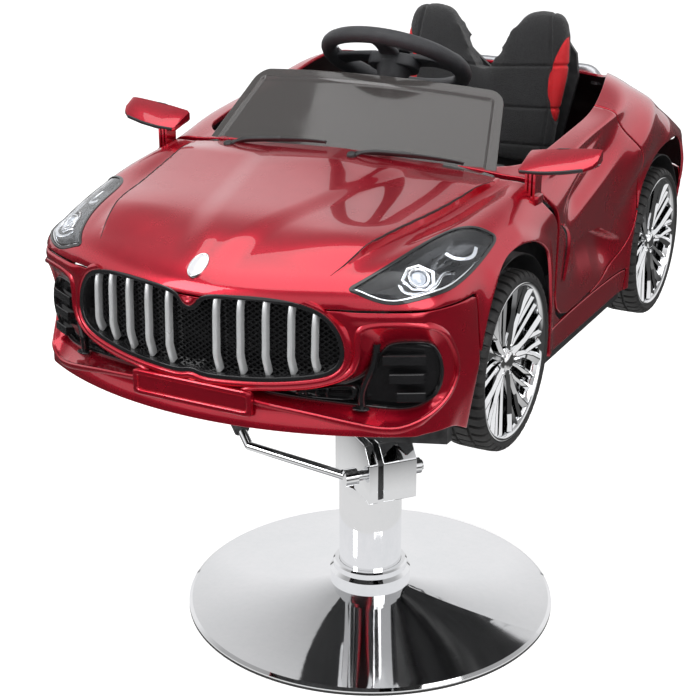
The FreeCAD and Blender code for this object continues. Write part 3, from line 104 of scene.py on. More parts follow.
# Outlines of the panels, as shares of half width (x), length from the nose (y), rise (z)
door_outline_shares = [
    (0.353, 1.1), (0.353, 0.764), (0.362, 0.712), (0.394, 0.621), (0.403, 0.461),
    (0.423, 0.118), (0.554, 0.118), (0.61, 0.142), (0.672, 0.209), (0.691, 0.3),
    (0.7055, 0.4545), (0.702, 0.6), (0.677, 0.703), (0.635, 0.812), (0.615, 0.909),
    (0.615, 1.1)]
cockpit_plan_shares = [
    (-0.4, 0.3505), (0.813, 0.3505), (0.853, 0.486), (0.853, 0.61), (0.783, 0.72),
    (0.6, 0.861), (-0.4, 0.861)]
front_arch_shares = [(-1.27, -0.4), (-1.23, 0.33), (-0.8, 1.19), (-0.14, 1.385),
                     (0.6, 1.11), (0.985, 0.37), (1.14, -0.4)]
rear_arch_shares = [(-1.1, -0.4), (-1.21, 0.5), (-0.87, 1.22), (-0.1, 1.44),
                    (0.79, 1.22), (1.19, 0.5), (1.27, -0.4)]

# Outlines on the nose, in metres across (x) and up (z), on the left half
grille_outline = [
    (-0.02, 0.621), (0.0, 0.621), (0.008, 0.624), (0.016, 0.636), (0.034, 0.641), (0.11, 0.645),
    (0.158, 0.636), (0.18, 0.612), (0.187, 0.58), (0.176, 0.56), (0.15, 0.551),
    (0.08, 0.541), (-0.02, 0.537)]
mouth_outline = [
    (0.07, 0.519), (0.137, 0.511), (0.181, 0.503), (0.234, 0.493), (0.259, 0.499),
    (0.281, 0.517), (0.289, 0.545), (0.288, 0.573), (0.281, 0.606), (0.268, 0.617),
    (0.206, 0.618), (0.202, 0.598), (0.203, 0.578), (0.193, 0.555), (0.16, 0.541),
    (0.12, 0.534), (0.07, 0.529)]
mouth_floor = [
    (0.073, 0.521), (0.137, 0.517), (0.181, 0.514), (0.234, 0.508), (0.256, 0.511),
    (0.272, 0.524), (0.28, 0.545), (0.28, 0.566), (0.274, 0.586), (0.264, 0.592),
    (0.23, 0.592), (0.219, 0.582), (0.208, 0.562), (0.195, 0.546), (0.162, 0.534),
    (0.12, 0.529), (0.073, 0.527)]

# The bonnet's crease in plan (x, y), then the edge of the door's lower hollow (y, z)
crease_line = [(0.16, -0.42), (0.171, -0.392), (0.178, -0.367), (0.185, -0.342),
               (0.196, -0.284), (0.208, -0.228), (0.222, -0.15), (0.23, -0.11)]
crease_step = 0.0085
crease_width = 0.0025
lens_line = [(-0.05, 0.6), (0.059, 0.603), (0.11, 0.602), (0.154, 0.596), (0.221, 0.569),
             (0.28, 0.548)]

# The headlamp's edge on the body, then the direction that it faces
lamp_edge = [
    (0.185, -0.427, 0.659), (0.198, -0.424, 0.654), (0.212, -0.421, 0.649), (0.228, -0.415, 0.645),
    (0.243, -0.406, 0.644), (0.259, -0.392, 0.647), (0.272, -0.375, 0.65), (0.28, -0.355, 0.652),
    (0.284, -0.329, 0.656), (0.286, -0.297, 0.662), (0.287, -0.261, 0.672), (0.286, -0.23, 0.682),
    (0.274, -0.238, 0.69), (0.256, -0.241, 0.692), (0.24, -0.252, 0.69), (0.231, -0.276, 0.688),
    (0.223, -0.314, 0.684), (0.216, -0.354, 0.679), (0.207, -0.388, 0.673), (0.197, -0.411, 0.666)]
lamp_facing = Vector((0.5, -0.45, 0.74)).normalized()


def body_x(share):
    return share * half_width


def body_y(share):
    return nose_y + share * body_length


def body_z(share):
    return sill_z + share * body_rise


# Mesh tools

weld = 1e-6
seam_weld = 1e-5


def spline_bends(knots, values):
    """Second derivatives of the natural cubic spline through values at the knots."""
    gaps = np.diff(knots)
    matrix = np.eye(len(knots))
    right = np.zeros_like(values)
    for row in range(1, len(knots) - 1):
        before = gaps[row - 1]
        after = gaps[row]
        matrix[row, row - 1:row + 2] = (before, 2.0 * (before + after), after)
        right[row] = 6.0 * ((values[row + 1] - values[row]) / after
                            - (values[row] - values[row - 1]) / before)
    return np.linalg.solve(matrix, right)


def spline_at(knots, values, bends, at):
    """Read one spline per column of values at the places in the same column of at."""
    spot = np.clip(np.searchsorted(knots, at, side="right") - 1, 0, len(knots) - 2)
    columns = np.arange(values.shape[1])
    gap = knots[spot + 1] - knots[spot]
    ahead = (knots[spot + 1] - at) / gap
    behind = 1.0 - ahead
    bend = ((ahead ** 3 - ahead) * bends[spot, columns]
            + (behind ** 3 - behind) * bends[spot + 1, columns])
    return (ahead * values[spot, columns] + behind * values[spot + 1, columns]
            + bend * gap ** 2 / 6.0)


def even_curve(points, count, closed=False):
    """A smooth curve through the points, read at even steps along its length."""
    points = np.array(points, dtype=float)
    if closed:
        points = np.vstack([points[-3:], points, points[:4]])
    steps = np.linalg.norm(np.diff(points, axis=0), axis=1)
    knots = np.concatenate([[0.0], np.cumsum(np.sqrt(steps))])
    bends = spline_bends(knots, points)
    if closed:
        fine = np.linspace(knots[3], knots[-4], 40 * len(points))
    else:
        fine = np.linspace(knots[0], knots[-1], 40 * len(points))
    places = np.repeat(fine[:, None], points.shape[1], axis=1)
    dense = spline_at(knots, points, bends, places)
    runs = np.concatenate([[0.0], np.cumsum(np.linalg.norm(np.diff(dense, axis=0), axis=1))])
    even = np.linspace(0.0, runs[-1], count + 1 if closed else count)
    if closed:
        even = even[:-1]
    return np.stack([np.interp(even, runs, dense[:, axis]) for axis in range(dense.shape[1])], 1)


def round_corners(points, rounds=3, share=0.25):
    """Cut the corners of a closed outline, a few times, until they are round."""
    points = np.array(points, dtype=float)
    for _ in range(rounds):
        after = np.roll(points, -1, axis=0)
        cuts = np.stack([points + share * (after - points), after - share * (after - points)], 1)
        points = cuts.reshape(-1, points.shape[1])
    return points


def outline_distance(places, outline):
    """Distance of flat places from a closed outline, below zero inside it."""
    places = np.asarray(places, dtype=float)
    nearest = np.full(len(places), np.inf)
    inside = np.zeros(len(places), dtype=bool)
    outline = np.asarray(outline, dtype=float)
    for start, end in zip(outline, np.roll(outline, -1, axis=0)):
        run = end - start
        share = np.clip(((places - start) @ run) / max(run @ run, 1e-12), 0.0, 1.0)
        gap = np.linalg.norm(places - start - share[:, None] * run, axis=1)
        nearest = np.minimum(nearest, gap)
        crosses = (start[1] > places[:, 1]) != (end[1] > places[:, 1])
        rise = run[1] if run[1] else 1e-12
        inside ^= crosses & (places[:, 0] < start[0] + (places[:, 1] - start[1]) * run[0] / rise)
    return np.where(inside, -nearest, nearest)


def smooth_step(value, low, high):
    share = np.clip((value - low) / (high - low), 0.0, 1.0)
    return share * share * (3.0 - 2.0 * share)


def grid_faces(rows, columns, wrap_rows=False, wrap_columns=False):
    faces = []
    for row in range(rows if wrap_rows else rows - 1):
        for column in range(columns if wrap_columns else columns - 1):
            below = (row + 1) % rows
            right = (column + 1) % columns
            faces.append((row * columns + column, row * columns + right,
                          below * columns + right, below * columns + column))
    return faces


def rows_mesh(rows, wrap_rows=False, wrap_columns=True, foot=False, crown=False):
    """A bmesh from rows of points, with its first or last row closed where asked."""
    count = len(rows[0])
    faces = grid_faces(len(rows), count, wrap_rows, wrap_columns)
    if foot:
        faces.append(tuple(range(count)))
    if crown:
        faces.append(tuple((len(rows) - 1) * count + index for index in reversed(range(count))))
    return to_bmesh([point for row in rows for point in row], faces)


def to_bmesh(points, faces):
    mesh = bmesh.new()
    corners = [mesh.verts.new(tuple(point)) for point in points]
    for face in faces:
        ring = []
        for index in face:
            if corners[index] not in ring:
                ring.append(corners[index])
        if len(ring) > 2 and mesh.faces.get(ring) is None:
            mesh.faces.new(ring)
    return mesh


def piece(name, mesh, finishes, body="carriage", sharp=35.0, outward=True, stands_for=""):
    """Make a named piece from a bmesh: finishes, smooth shading with sharp edges, body."""
    bmesh.ops.remove_doubles(mesh, verts=mesh.verts, dist=weld)
    if outward:
        bmesh.ops.recalc_face_normals(mesh, faces=mesh.faces)
    limit = math.radians(sharp)
    for edge in mesh.edges:
        edge.smooth = len(edge.link_faces) == 2 and edge.calc_face_angle(0.0) < limit
    for face in mesh.faces:
        face.smooth = True
    data = bpy.data.meshes.new(name)
    mesh.to_mesh(data)
    mesh.free()
    made = bpy.data.objects.new(name, data)
    bpy.context.scene.collection.objects.link(made)
    for finish in finishes if isinstance(finishes, (list, tuple)) else [finishes]:
        data.materials.append(finish)
    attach(made, body)
    if stands_for:
        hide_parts(stands_for)
    return made


def joined(meshes):
    """One bmesh from several, each freed."""
    whole = bmesh.new()
    for mesh in meshes:
        holder = bpy.data.meshes.new("holder")
        mesh.to_mesh(holder)
        mesh.free()
        whole.from_mesh(holder)
        bpy.data.meshes.remove(holder)
    return whole


def moved(mesh, matrix):
    bmesh.ops.transform(mesh, matrix=matrix, verts=mesh.verts)
    if matrix.determinant() < 0.0:
        bmesh.ops.reverse_faces(mesh, faces=mesh.faces)
    return mesh


def mirrored(mesh):
    """The same bmesh on the other side of the car."""
    return moved(mesh.copy(), Matrix.Diagonal((-1.0, 1.0, 1.0, 1.0)))


def pair(mesh):
    """The bmesh and its mirror image as one."""
    return joined([mirrored(mesh), mesh])


def both_sides(mesh):
    """The bmesh with its mirror image, joined where they meet on the middle plane."""
    whole = pair(mesh)
    bmesh.ops.remove_doubles(whole, verts=whole.verts, dist=seam_weld)
    return whole


def painted(mesh, index):
    for face in mesh.faces:
        face.material_index = index
    return mesh


def lathe(profile, count, centre=(0.0, 0.0, 0.0), axis=(0.0, 0.0, 1.0), closed=False):
    """Spin a profile of (radius, height) about an axis through a centre."""
    angles = np.linspace(0.0, 2.0 * math.pi, count, endpoint=False)
    points = []
    for radius, height in profile:
        for angle in angles:
            points.append((radius * math.cos(angle), radius * math.sin(angle), height))
    faces = grid_faces(len(profile), count, wrap_rows=closed, wrap_columns=True)
    mesh = to_bmesh(points, faces)
    bmesh.ops.remove_doubles(mesh, verts=mesh.verts, dist=weld)
    if not closed:
        for row in (0, len(profile) - 1):
            if profile[row][0] > weld:
                rim = [edge for edge in mesh.edges if edge.is_boundary and all(
                    abs(corner.co.z - profile[row][1]) < 1e-7 for corner in edge.verts)]
                bmesh.ops.contextual_create(mesh, geom=rim)
    bmesh.ops.recalc_face_normals(mesh, faces=mesh.faces)
    turn = Vector((0.0, 0.0, 1.0)).rotation_difference(Vector(axis)).to_matrix().to_4x4()
    return moved(mesh, Matrix.Translation(centre) @ turn)


def fillet(profile, radius, steps=4, closed=False):
    """Round the corners of a flat line of points, each by the radius or less."""
    points = [np.array(point, dtype=float) for point in profile]
    made = []
    last = len(points) - 1
    for index, corner in enumerate(points):
        if not closed and index in (0, last):
            made.append(tuple(corner))
            continue
        before = points[index - 1] - corner
        after = points[(index + 1) % len(points)] - corner
        size = radius[index] if isinstance(radius, (list, tuple)) else radius
        reach = min(size, 0.49 * np.linalg.norm(before), 0.49 * np.linalg.norm(after))
        if reach < 1e-7:
            made.append(tuple(corner))
            continue
        start = corner + before / np.linalg.norm(before) * reach
        end = corner + after / np.linalg.norm(after) * reach
        for step in range(steps + 1):
            share = step / steps
            point = (start * (1 - share) ** 2 + corner * 2 * share * (1 - share)
                     + end * share ** 2)
            made.append(tuple(point))
    return made


def bar_profile(half, foot, crown, radius, steps=4):
    """The section of a flat bar, twice half wide, with rounded corners."""
    return fillet([(-half, foot), (-half, crown), (half, crown), (half, foot)], radius, steps,
                  closed=True)


def oval(half_wide, half_high, count):
    return [(half_wide * math.cos(turn), half_high * math.sin(turn))
            for turn in np.linspace(0.0, 2.0 * math.pi, count, endpoint=False)]


def sweep(path, section, closed=False, up=(0.0, 0.0, 1.0), scale=None):
    """Carry a closed section of (side, up) points along a path, without twist."""
    path = [Vector(point) for point in path]
    count = len(path)
    points = []
    normal = Vector(up)
    for index, place in enumerate(path):
        if closed:
            ahead = path[(index + 1) % count] - path[index - 1]
        else:
            ahead = path[min(index + 1, count - 1)] - path[max(index - 1, 0)]
        ahead.normalize()
        normal = (normal - ahead * normal.dot(ahead)).normalized()
        side = ahead.cross(normal)
        size = 1.0 if scale is None else scale[index]
        for across, rise in section:
            points.append(place + side * across * size + normal * rise * size)
    faces = grid_faces(count, len(section), wrap_rows=closed, wrap_columns=True)
    if not closed:
        faces.append(tuple(range(len(section))))
        last = (count - 1) * len(section)
        faces.append(tuple(last + index for index in reversed(range(len(section)))))
    mesh = to_bmesh(points, faces)
    bmesh.ops.recalc_face_normals(mesh, faces=mesh.faces)
    return mesh


def round_section(radius, count=12, flat=1.0):
    return [(radius * math.cos(2.0 * math.pi * step / count),
             flat * radius * math.sin(2.0 * math.pi * step / count)) for step in range(count)]


def slab(outline, low, high, round_edge, steps=3):
    """A plate from a flat outline between two heights, with rounded edges."""
    outline = np.array(outline, dtype=float)
    area = np.sum(outline[:, 0] * np.roll(outline[:, 1], -1)
                  - np.roll(outline[:, 0], -1) * outline[:, 1])
    if area < 0.0:
        outline = outline[::-1]
    before = outline - np.roll(outline, 1, axis=0)
    after = np.roll(outline, -1, axis=0) - outline
    before /= np.linalg.norm(before, axis=1)[:, None]
    after /= np.linalg.norm(after, axis=1)[:, None]
    inward = np.stack([-(before[:, 1] + after[:, 1]), before[:, 0] + after[:, 0]], 1)
    length = np.linalg.norm(inward, axis=1)[:, None]
    inward = inward / length * np.minimum(2.0 / length, 1.6)
    rings = []
    turns = [math.pi / 2.0 * step / steps for step in range(steps + 1)]
    for turn in turns:
        rings.append((round_edge * (1.0 - math.sin(turn)),
                      low + round_edge * (1.0 - math.cos(turn))))
    for turn in turns:
        rings.append((round_edge * (1.0 - math.cos(turn)),
                      high - round_edge * (1.0 - math.sin(turn))))
    points = []
    for inset, height in rings:
        for place, way in zip(outline, inward):
            flat_place = place + way * inset
            points.append((flat_place[0], flat_place[1], height))
    count = len(outline)
    faces = grid_faces(len(rings), count, wrap_columns=True)
    faces.append(tuple(reversed(range(count))))
    faces.append(tuple((len(rings) - 1) * count + index for index in range(count)))
    mesh = to_bmesh(points, faces)
    bmesh.ops.recalc_face_normals(mesh, faces=mesh.faces)
    return mesh


def upright(mesh, origin, right, up):
    """Place a flat-made bmesh: its x along right, its y along up, its z outwards."""
    right = Vector(right).normalized()
    up = Vector(up)
    up = (up - right * up.dot(right)).normalized()
    out = right.cross(up)
    matrix = Matrix((right, up, out)).transposed().to_4x4()
    return moved(mesh, Matrix.Translation(origin) @ matrix)


def score(mesh, distance, snap=0.2):
    """Split a bmesh along the line where a distance function is zero."""
    mesh.verts.index_update()
    mesh.verts.ensure_lookup_table()
    places = np.array([corner.co for corner in mesh.verts])
    value = distance(places)
    for edge in mesh.edges:
        first, second = edge.verts
        low = value[first.index]
        high = value[second.index]
        if low * high >= 0.0:
            continue
        share = low / (low - high)
        if share < snap:
            first.co = first.co.lerp(second.co, share)
            value[first.index] = 0.0
        elif share > 1.0 - snap:
            second.co = first.co.lerp(second.co, share)
            value[second.index] = 0.0
    known = {corner: value[corner.index] for corner in mesh.verts}
    for edge in list(mesh.edges):
        first, second = edge.verts
        low = known[first]
        high = known[second]
        if low * high < 0.0:
            _, corner = bmesh.utils.edge_split(edge, first, low / (low - high))
            known[corner] = 0.0
    for face in list(mesh.faces):
        signs = [known[corner] for corner in face.verts]
        if min(signs) >= 0.0 or max(signs) <= 0.0:
            continue
        zeros = [corner for corner in face.verts if known[corner] == 0.0]
        if len(zeros) == 2:
            try:
                bmesh.utils.face_split(face, zeros[0], zeros[1])
            except ValueError:
                continue
    return known


def trim(mesh, distance, keep_below=False, snap=0.2):
    """Cut a bmesh where a distance function crosses zero, and keep one side."""
    known = score(mesh, distance, snap)
    unwanted = []
    for face in mesh.faces:
        total = sum(known[corner] for corner in face.verts)
        if total == 0.0:
            total = distance(np.array([face.calc_center_median()]))[0]
        if (total < 0.0) != keep_below:
            unwanted.append(face)
    bmesh.ops.delete(mesh, geom=unwanted, context="FACES")
    return mesh


def thicken(mesh, thickness=panel_thickness, roll=0.0009, inner_index=1, rim_index=0):
    """Turn an open skin into a closed panel: an inner wall and rolled edges."""
    mesh.normal_update()
    faces = list(mesh.faces)
    skin = list(mesh.verts)
    normal = {corner: corner.normal.copy() for corner in skin}
    rim = [edge for edge in mesh.edges if len(edge.link_faces) == 1]
    side = {}
    for edge in rim:
        face = edge.link_faces[0]
        across = (edge.verts[1].co - edge.verts[0].co).cross(face.normal).normalized()
        if across.dot(face.calc_center_median() - edge.verts[0].co) > 0.0:
            across.negate()
        for corner in edge.verts:
            side[corner] = side.get(corner, Vector()) + across
    for corner in side:
        way = side[corner] - normal[corner] * side[corner].dot(normal[corner])
        side[corner] = way.normalized() if way.length > 1e-9 else Vector()
    inner = {corner: mesh.verts.new(corner.co - normal[corner] * thickness) for corner in skin}
    for face in faces:
        made = mesh.faces.new([inner[corner] for corner in reversed(face.verts)])
        made.material_index = inner_index
    profile = [(roll * 0.5, roll * 0.134), (roll * 0.866, roll * 0.5), (roll, roll)]
    rings = [{corner: corner for corner in side}]
    for out, down in profile + [(roll, thickness)]:
        rings.append({corner: mesh.verts.new(corner.co + side[corner] * out
                                             - normal[corner] * down) for corner in side})
    rings.append({corner: inner[corner] for corner in side})
    for edge in rim:
        loop = edge.link_faces[0].loops
        first = next(item for item in loop if item.edge == edge)
        start = first.vert
        end = first.link_loop_next.vert
        for outer_ring, inner_ring in zip(rings[:-1], rings[1:]):
            made = mesh.faces.new((outer_ring[end], outer_ring[start],
                                   inner_ring[start], inner_ring[end]))
            made.material_index = rim_index
    return mesh


def tree_copies(name, kind):
    """A Geometry Nodes tree that repeats its input: in a ring about X, or along a row."""
    tree = bpy.data.node_groups.new(name, "GeometryNodeTree")
    for label, value in (("Geometry", "Geometry"), ("Count", "Int"),
                         ("Step", "Float" if kind == "ring" else "Vector"),
                         ("Finish", "Material")):
        tree.interface.new_socket(label, in_out="INPUT", socket_type="NodeSocket" + value)
    tree.interface.new_socket("Geometry", in_out="OUTPUT", socket_type="NodeSocketGeometry")
    entry = tree.nodes.new("NodeGroupInput")
    leave = tree.nodes.new("NodeGroupOutput")
    line = tree.nodes.new("GeometryNodeMeshLine")
    line.mode = "OFFSET"
    line.count_mode = "TOTAL"
    line.inputs["Offset"].default_value = (0.0, 0.0, 0.0)
    copies = tree.nodes.new("GeometryNodeInstanceOnPoints")
    real = tree.nodes.new("GeometryNodeRealizeInstances")
    cover = tree.nodes.new("GeometryNodeSetMaterial")
    link = tree.links.new
    link(entry.outputs["Count"], line.inputs["Count"])
    if kind == "ring":
        index = tree.nodes.new("GeometryNodeInputIndex")
        turn = tree.nodes.new("ShaderNodeMath")
        turn.operation = "MULTIPLY"
        angles = tree.nodes.new("ShaderNodeCombineXYZ")
        link(index.outputs[0], turn.inputs[0])
        link(entry.outputs["Step"], turn.inputs[1])
        link(turn.outputs[0], angles.inputs["X"])
        link(angles.outputs[0], copies.inputs["Rotation"])
    else:
        link(entry.outputs["Step"], line.inputs["Offset"])
    link(line.outputs["Mesh"], copies.inputs["Points"])
    link(entry.outputs["Geometry"], copies.inputs["Instance"])
    link(copies.outputs["Instances"], real.inputs["Geometry"])
    link(real.outputs["Geometry"], cover.inputs["Geometry"])
    link(entry.outputs["Finish"], cover.inputs["Material"])
    link(cover.outputs["Geometry"], leave.inputs["Geometry"])
    return tree


ring_tree = tree_copies("ring_of_copies", "ring")
row_tree = tree_copies("row_of_copies", "row")


def repeated(mesh, tree, count, step, finish):
    """The bmesh repeated by a Geometry Nodes tree, as one bmesh."""
    data = bpy.data.meshes.new("one_copy")
    mesh.to_mesh(data)
    mesh.free()
    holder = bpy.data.objects.new("copies", data)
    bpy.context.scene.collection.objects.link(holder)
    modifier = holder.modifiers.new("copies", "NODES")
    modifier.node_group = tree
    names = {item.name: item.identifier for item in tree.interface.items_tree
             if item.in_out == "INPUT"}
    modifier[names["Count"]] = count
    modifier[names["Step"]] = step
    modifier[names["Finish"]] = finish
    graph = bpy.context.evaluated_depsgraph_get()
    made = bpy.data.meshes.new_from_object(holder.evaluated_get(graph), depsgraph=graph)
    whole = bmesh.new()
    whole.from_mesh(made)
    bpy.data.objects.remove(holder)
    bpy.data.meshes.remove(data)
    bpy.data.meshes.remove(made)
    return whole


# Finishes

def shader_group(name, inputs, outputs):
    tree = bpy.data.node_groups.new(name, "ShaderNodeTree")
    for label, value in inputs:
        kind = "NodeSocketColor" if isinstance(value, tuple) else "NodeSocketFloat"
        socket = tree.interface.new_socket(label, in_out="INPUT", socket_type=kind)
        socket.default_value = value
    for label, kind in outputs:
        tree.interface.new_socket(label, in_out="OUTPUT", socket_type=kind)
    return tree, tree.nodes.new("NodeGroupInput"), tree.nodes.new("NodeGroupOutput")


def add(tree, kind, **settings):
    made = tree.nodes.new(kind)
    for name, value in settings.items():
        setattr(made, name, value)
    return made


def math_node(tree, operation, first, second):
    made = add(tree, "ShaderNodeMath", operation=operation)
    for socket, value in zip(made.inputs, (first, second)):
        if isinstance(value, (int, float)):
            socket.default_value = value
        else:
            tree.links.new(value, socket)
    return made.outputs[0]


def ranged(tree, value, low, high, bottom, top):
    """Carry a value from one range to another."""
    made = add(tree, "ShaderNodeMapRange")
    for socket, item in zip(list(made.inputs)[:5], (value, low, high, bottom, top)):
        if isinstance(item, (int, float)):
            socket.default_value = item
        else:
            tree.links.new(item, socket)
    return made.outputs[0]


def noise(tree, scale, detail=3.0, rough=0.55, place=None):
    made = add(tree, "ShaderNodeTexNoise")
    made.inputs["Detail"].default_value = detail
    made.inputs["Roughness"].default_value = rough
    if isinstance(scale, (int, float)):
        made.inputs["Scale"].default_value = scale
    else:
        tree.links.new(scale, made.inputs["Scale"])
    if place is None:
        place = add(tree, "ShaderNodeTexCoord").outputs["Object"]
    tree.links.new(place, made.inputs["Vector"])
    return made.outputs[0]


def make_mottle():
    """Slow change between two colours, with a finer one laid over it."""
    tree, entry, leave = shader_group(
        "mottle", [("Colour", (0.5, 0.5, 0.5, 1.0)), ("Other Colour", (0.4, 0.4, 0.4, 1.0)),
                   ("Scale", 8.0)], [("Colour", "NodeSocketColor")])
    broad = noise(tree, entry.outputs["Scale"])
    fine_scale = math_node(tree, "MULTIPLY", entry.outputs["Scale"], 14.0)
    fine = noise(tree, fine_scale)
    both = math_node(tree, "ADD", math_node(tree, "MULTIPLY", broad, 0.7),
                     math_node(tree, "MULTIPLY", fine, 0.3))
    share = ranged(tree, both, 0.36, 0.64, 0.0, 1.0)
    blend = add(tree, "ShaderNodeMix", data_type="RGBA")
    tree.links.new(share, blend.inputs[0])
    tree.links.new(entry.outputs["Colour"], blend.inputs[6])
    tree.links.new(entry.outputs["Other Colour"], blend.inputs[7])
    tree.links.new(blend.outputs[2], leave.inputs["Colour"])
    return tree


def make_handling():
    """Roughness that polish, dust and fingers leave uneven."""
    tree, entry, leave = shader_group(
        "handling", [("Scale", 12.0), ("Low", 0.2), ("High", 0.4)],
        [("Roughness", "NodeSocketFloat")])
    broad = noise(tree, entry.outputs["Scale"], 4.0, 0.6)
    value = ranged(tree, broad, 0.32, 0.68, entry.outputs["Low"], entry.outputs["High"])
    tree.links.new(value, leave.inputs["Roughness"])
    return tree


def make_hide_grain():
    """Pebbled grain of seat cover or moulded grip: cells with creases between them."""
    tree, entry, leave = shader_group(
        "hide_grain", [("Scale", 300.0)], [("Height", "NodeSocketFloat")])
    cells = add(tree, "ShaderNodeTexVoronoi", feature="DISTANCE_TO_EDGE")
    place = add(tree, "ShaderNodeTexCoord").outputs["Object"]
    tree.links.new(place, cells.inputs["Vector"])
    tree.links.new(entry.outputs["Scale"], cells.inputs["Scale"])
    hill = ranged(tree, cells.outputs["Distance"], 0.0, 0.25, 0.0, 1.0)
    fine = noise(tree, math_node(tree, "MULTIPLY", entry.outputs["Scale"], 2.3))
    total = math_node(tree, "ADD", hill, math_node(tree, "MULTIPLY", fine, 0.35))
    tree.links.new(total, leave.inputs["Height"])
    return tree


def make_spark_grain():
    """The fine eroded grain of moulded plastic, cast iron and rubber."""
    tree, entry, leave = shader_group(
        "spark_grain", [("Scale", 900.0)], [("Height", "NodeSocketFloat")])
    first = noise(tree, entry.outputs["Scale"], 5.0, 0.65)
    tree.links.new(first, leave.inputs["Height"])
    return tree


def make_turned_marks():
    """Fine rings that turning and polishing leave round an upright axis."""
    tree, entry, leave = shader_group(
        "turned_marks", [("Scale", 900.0)], [("Height", "NodeSocketFloat")])
    place = add(tree, "ShaderNodeTexCoord").outputs["Object"]
    apart = add(tree, "ShaderNodeSeparateXYZ")
    tree.links.new(place, apart.inputs[0])
    radius = math_node(tree, "SQRT", math_node(
        tree, "ADD", math_node(tree, "MULTIPLY", apart.outputs[0], apart.outputs[0]),
        math_node(tree, "MULTIPLY", apart.outputs[1], apart.outputs[1])), 0.0)
    join = add(tree, "ShaderNodeCombineXYZ")
    tree.links.new(radius, join.inputs[0])
    tree.links.new(apart.outputs[2], join.inputs[1])
    value = noise(tree, entry.outputs["Scale"], 2.0, 0.5, join.outputs[0])
    tree.links.new(value, leave.inputs["Height"])
    return tree


def make_edge_rub():
    """A mask of outer edges that hands and cloths have rubbed."""
    tree, entry, leave = shader_group(
        "edge_rub", [("Amount", 1.0)], [("Mask", "NodeSocketFloat")])
    shape = add(tree, "ShaderNodeNewGeometry")
    edges = ranged(tree, shape.outputs["Pointiness"], 0.52, 0.62, 0.0, 1.0)
    broken = ranged(tree, noise(tree, 60.0), 0.35, 0.65, 0.0, 1.0)
    mask = math_node(tree, "MULTIPLY", math_node(tree, "MULTIPLY", edges, broken),
                     entry.outputs["Amount"])
    tree.links.new(mask, leave.inputs["Mask"])
    return tree


mottle = make_mottle()
handling = make_handling()
hide_grain = make_hide_grain()
spark_grain = make_spark_grain()
turned_marks = make_turned_marks()
edge_rub = make_edge_rub()


def placed_group(tree, group, values):
    made = add(tree, "ShaderNodeGroup", node_tree=group)
    for label, value in values.items():
        made.inputs[label].default_value = value
    return made


def colour4(colour):
    return (colour[0], colour[1], colour[2], 1.0)


def finish_of(name, colour, other=None, mottle_scale=8.0, rough=(0.3, 0.4), rough_scale=14.0,
              grain=None, rub=None, constants=None):
    """A finish: mottled colour, uneven roughness, a grain with scale and height, rubbed edges."""
    made = bpy.data.materials.new(name)
    made.use_nodes = True
    tree = made.node_tree
    shader = tree.nodes["Principled BSDF"]
    tint = placed_group(tree, mottle, {"Colour": colour4(colour),
                                       "Other Colour": colour4(other or colour),
                                       "Scale": mottle_scale})
    hue = tint.outputs["Colour"]
    if rub:
        mask = placed_group(tree, edge_rub, {"Amount": 1.0}).outputs["Mask"]
        blend = add(tree, "ShaderNodeMix", data_type="RGBA")
        tree.links.new(mask, blend.inputs[0])
        tree.links.new(hue, blend.inputs[6])
        blend.inputs[7].default_value = colour4(rub)
        hue = blend.outputs[2]
    tree.links.new(hue, shader.inputs["Base Color"])
    touched = placed_group(tree, handling, {"Scale": rough_scale, "Low": rough[0],
                                            "High": rough[1]})
    tree.links.new(touched.outputs["Roughness"], shader.inputs["Roughness"])
    if grain:
        marks, scale, height = grain
        relief = placed_group(tree, marks, {"Scale": scale})
        bump = add(tree, "ShaderNodeBump")
        bump.inputs["Strength"].default_value = 1.0
        bump.inputs["Distance"].default_value = height
        tree.links.new(relief.outputs["Height"], bump.inputs["Height"])
        tree.links.new(bump.outputs[0], shader.inputs["Normal"])
    for label, value in (constants or {}).items():
        shader.inputs[label].default_value = value
    made.diffuse_color = colour4(colour)
    return made


def clear_finish(name, colour, rough=(0.02, 0.05), index=1.45, wave=0.0, share=1.0):
    """See-through glass or plastic, with slight waves where it is moulded."""
    made = bpy.data.materials.new(name)
    made.use_nodes = True
    tree = made.node_tree
    shader = tree.nodes["Principled BSDF"]
    shader.inputs["Base Color"].default_value = colour4(colour)
    shader.inputs["Transmission Weight"].default_value = share
    shader.inputs["IOR"].default_value = index
    touched = placed_group(tree, handling, {"Scale": 18.0, "Low": rough[0], "High": rough[1]})
    tree.links.new(touched.outputs["Roughness"], shader.inputs["Roughness"])
    if wave:
        bump = add(tree, "ShaderNodeBump")
        bump.inputs["Distance"].default_value = wave
        tree.links.new(noise(tree, 22.0, 1.0), bump.inputs["Height"])
        tree.links.new(bump.outputs[0], shader.inputs["Normal"])
    return made


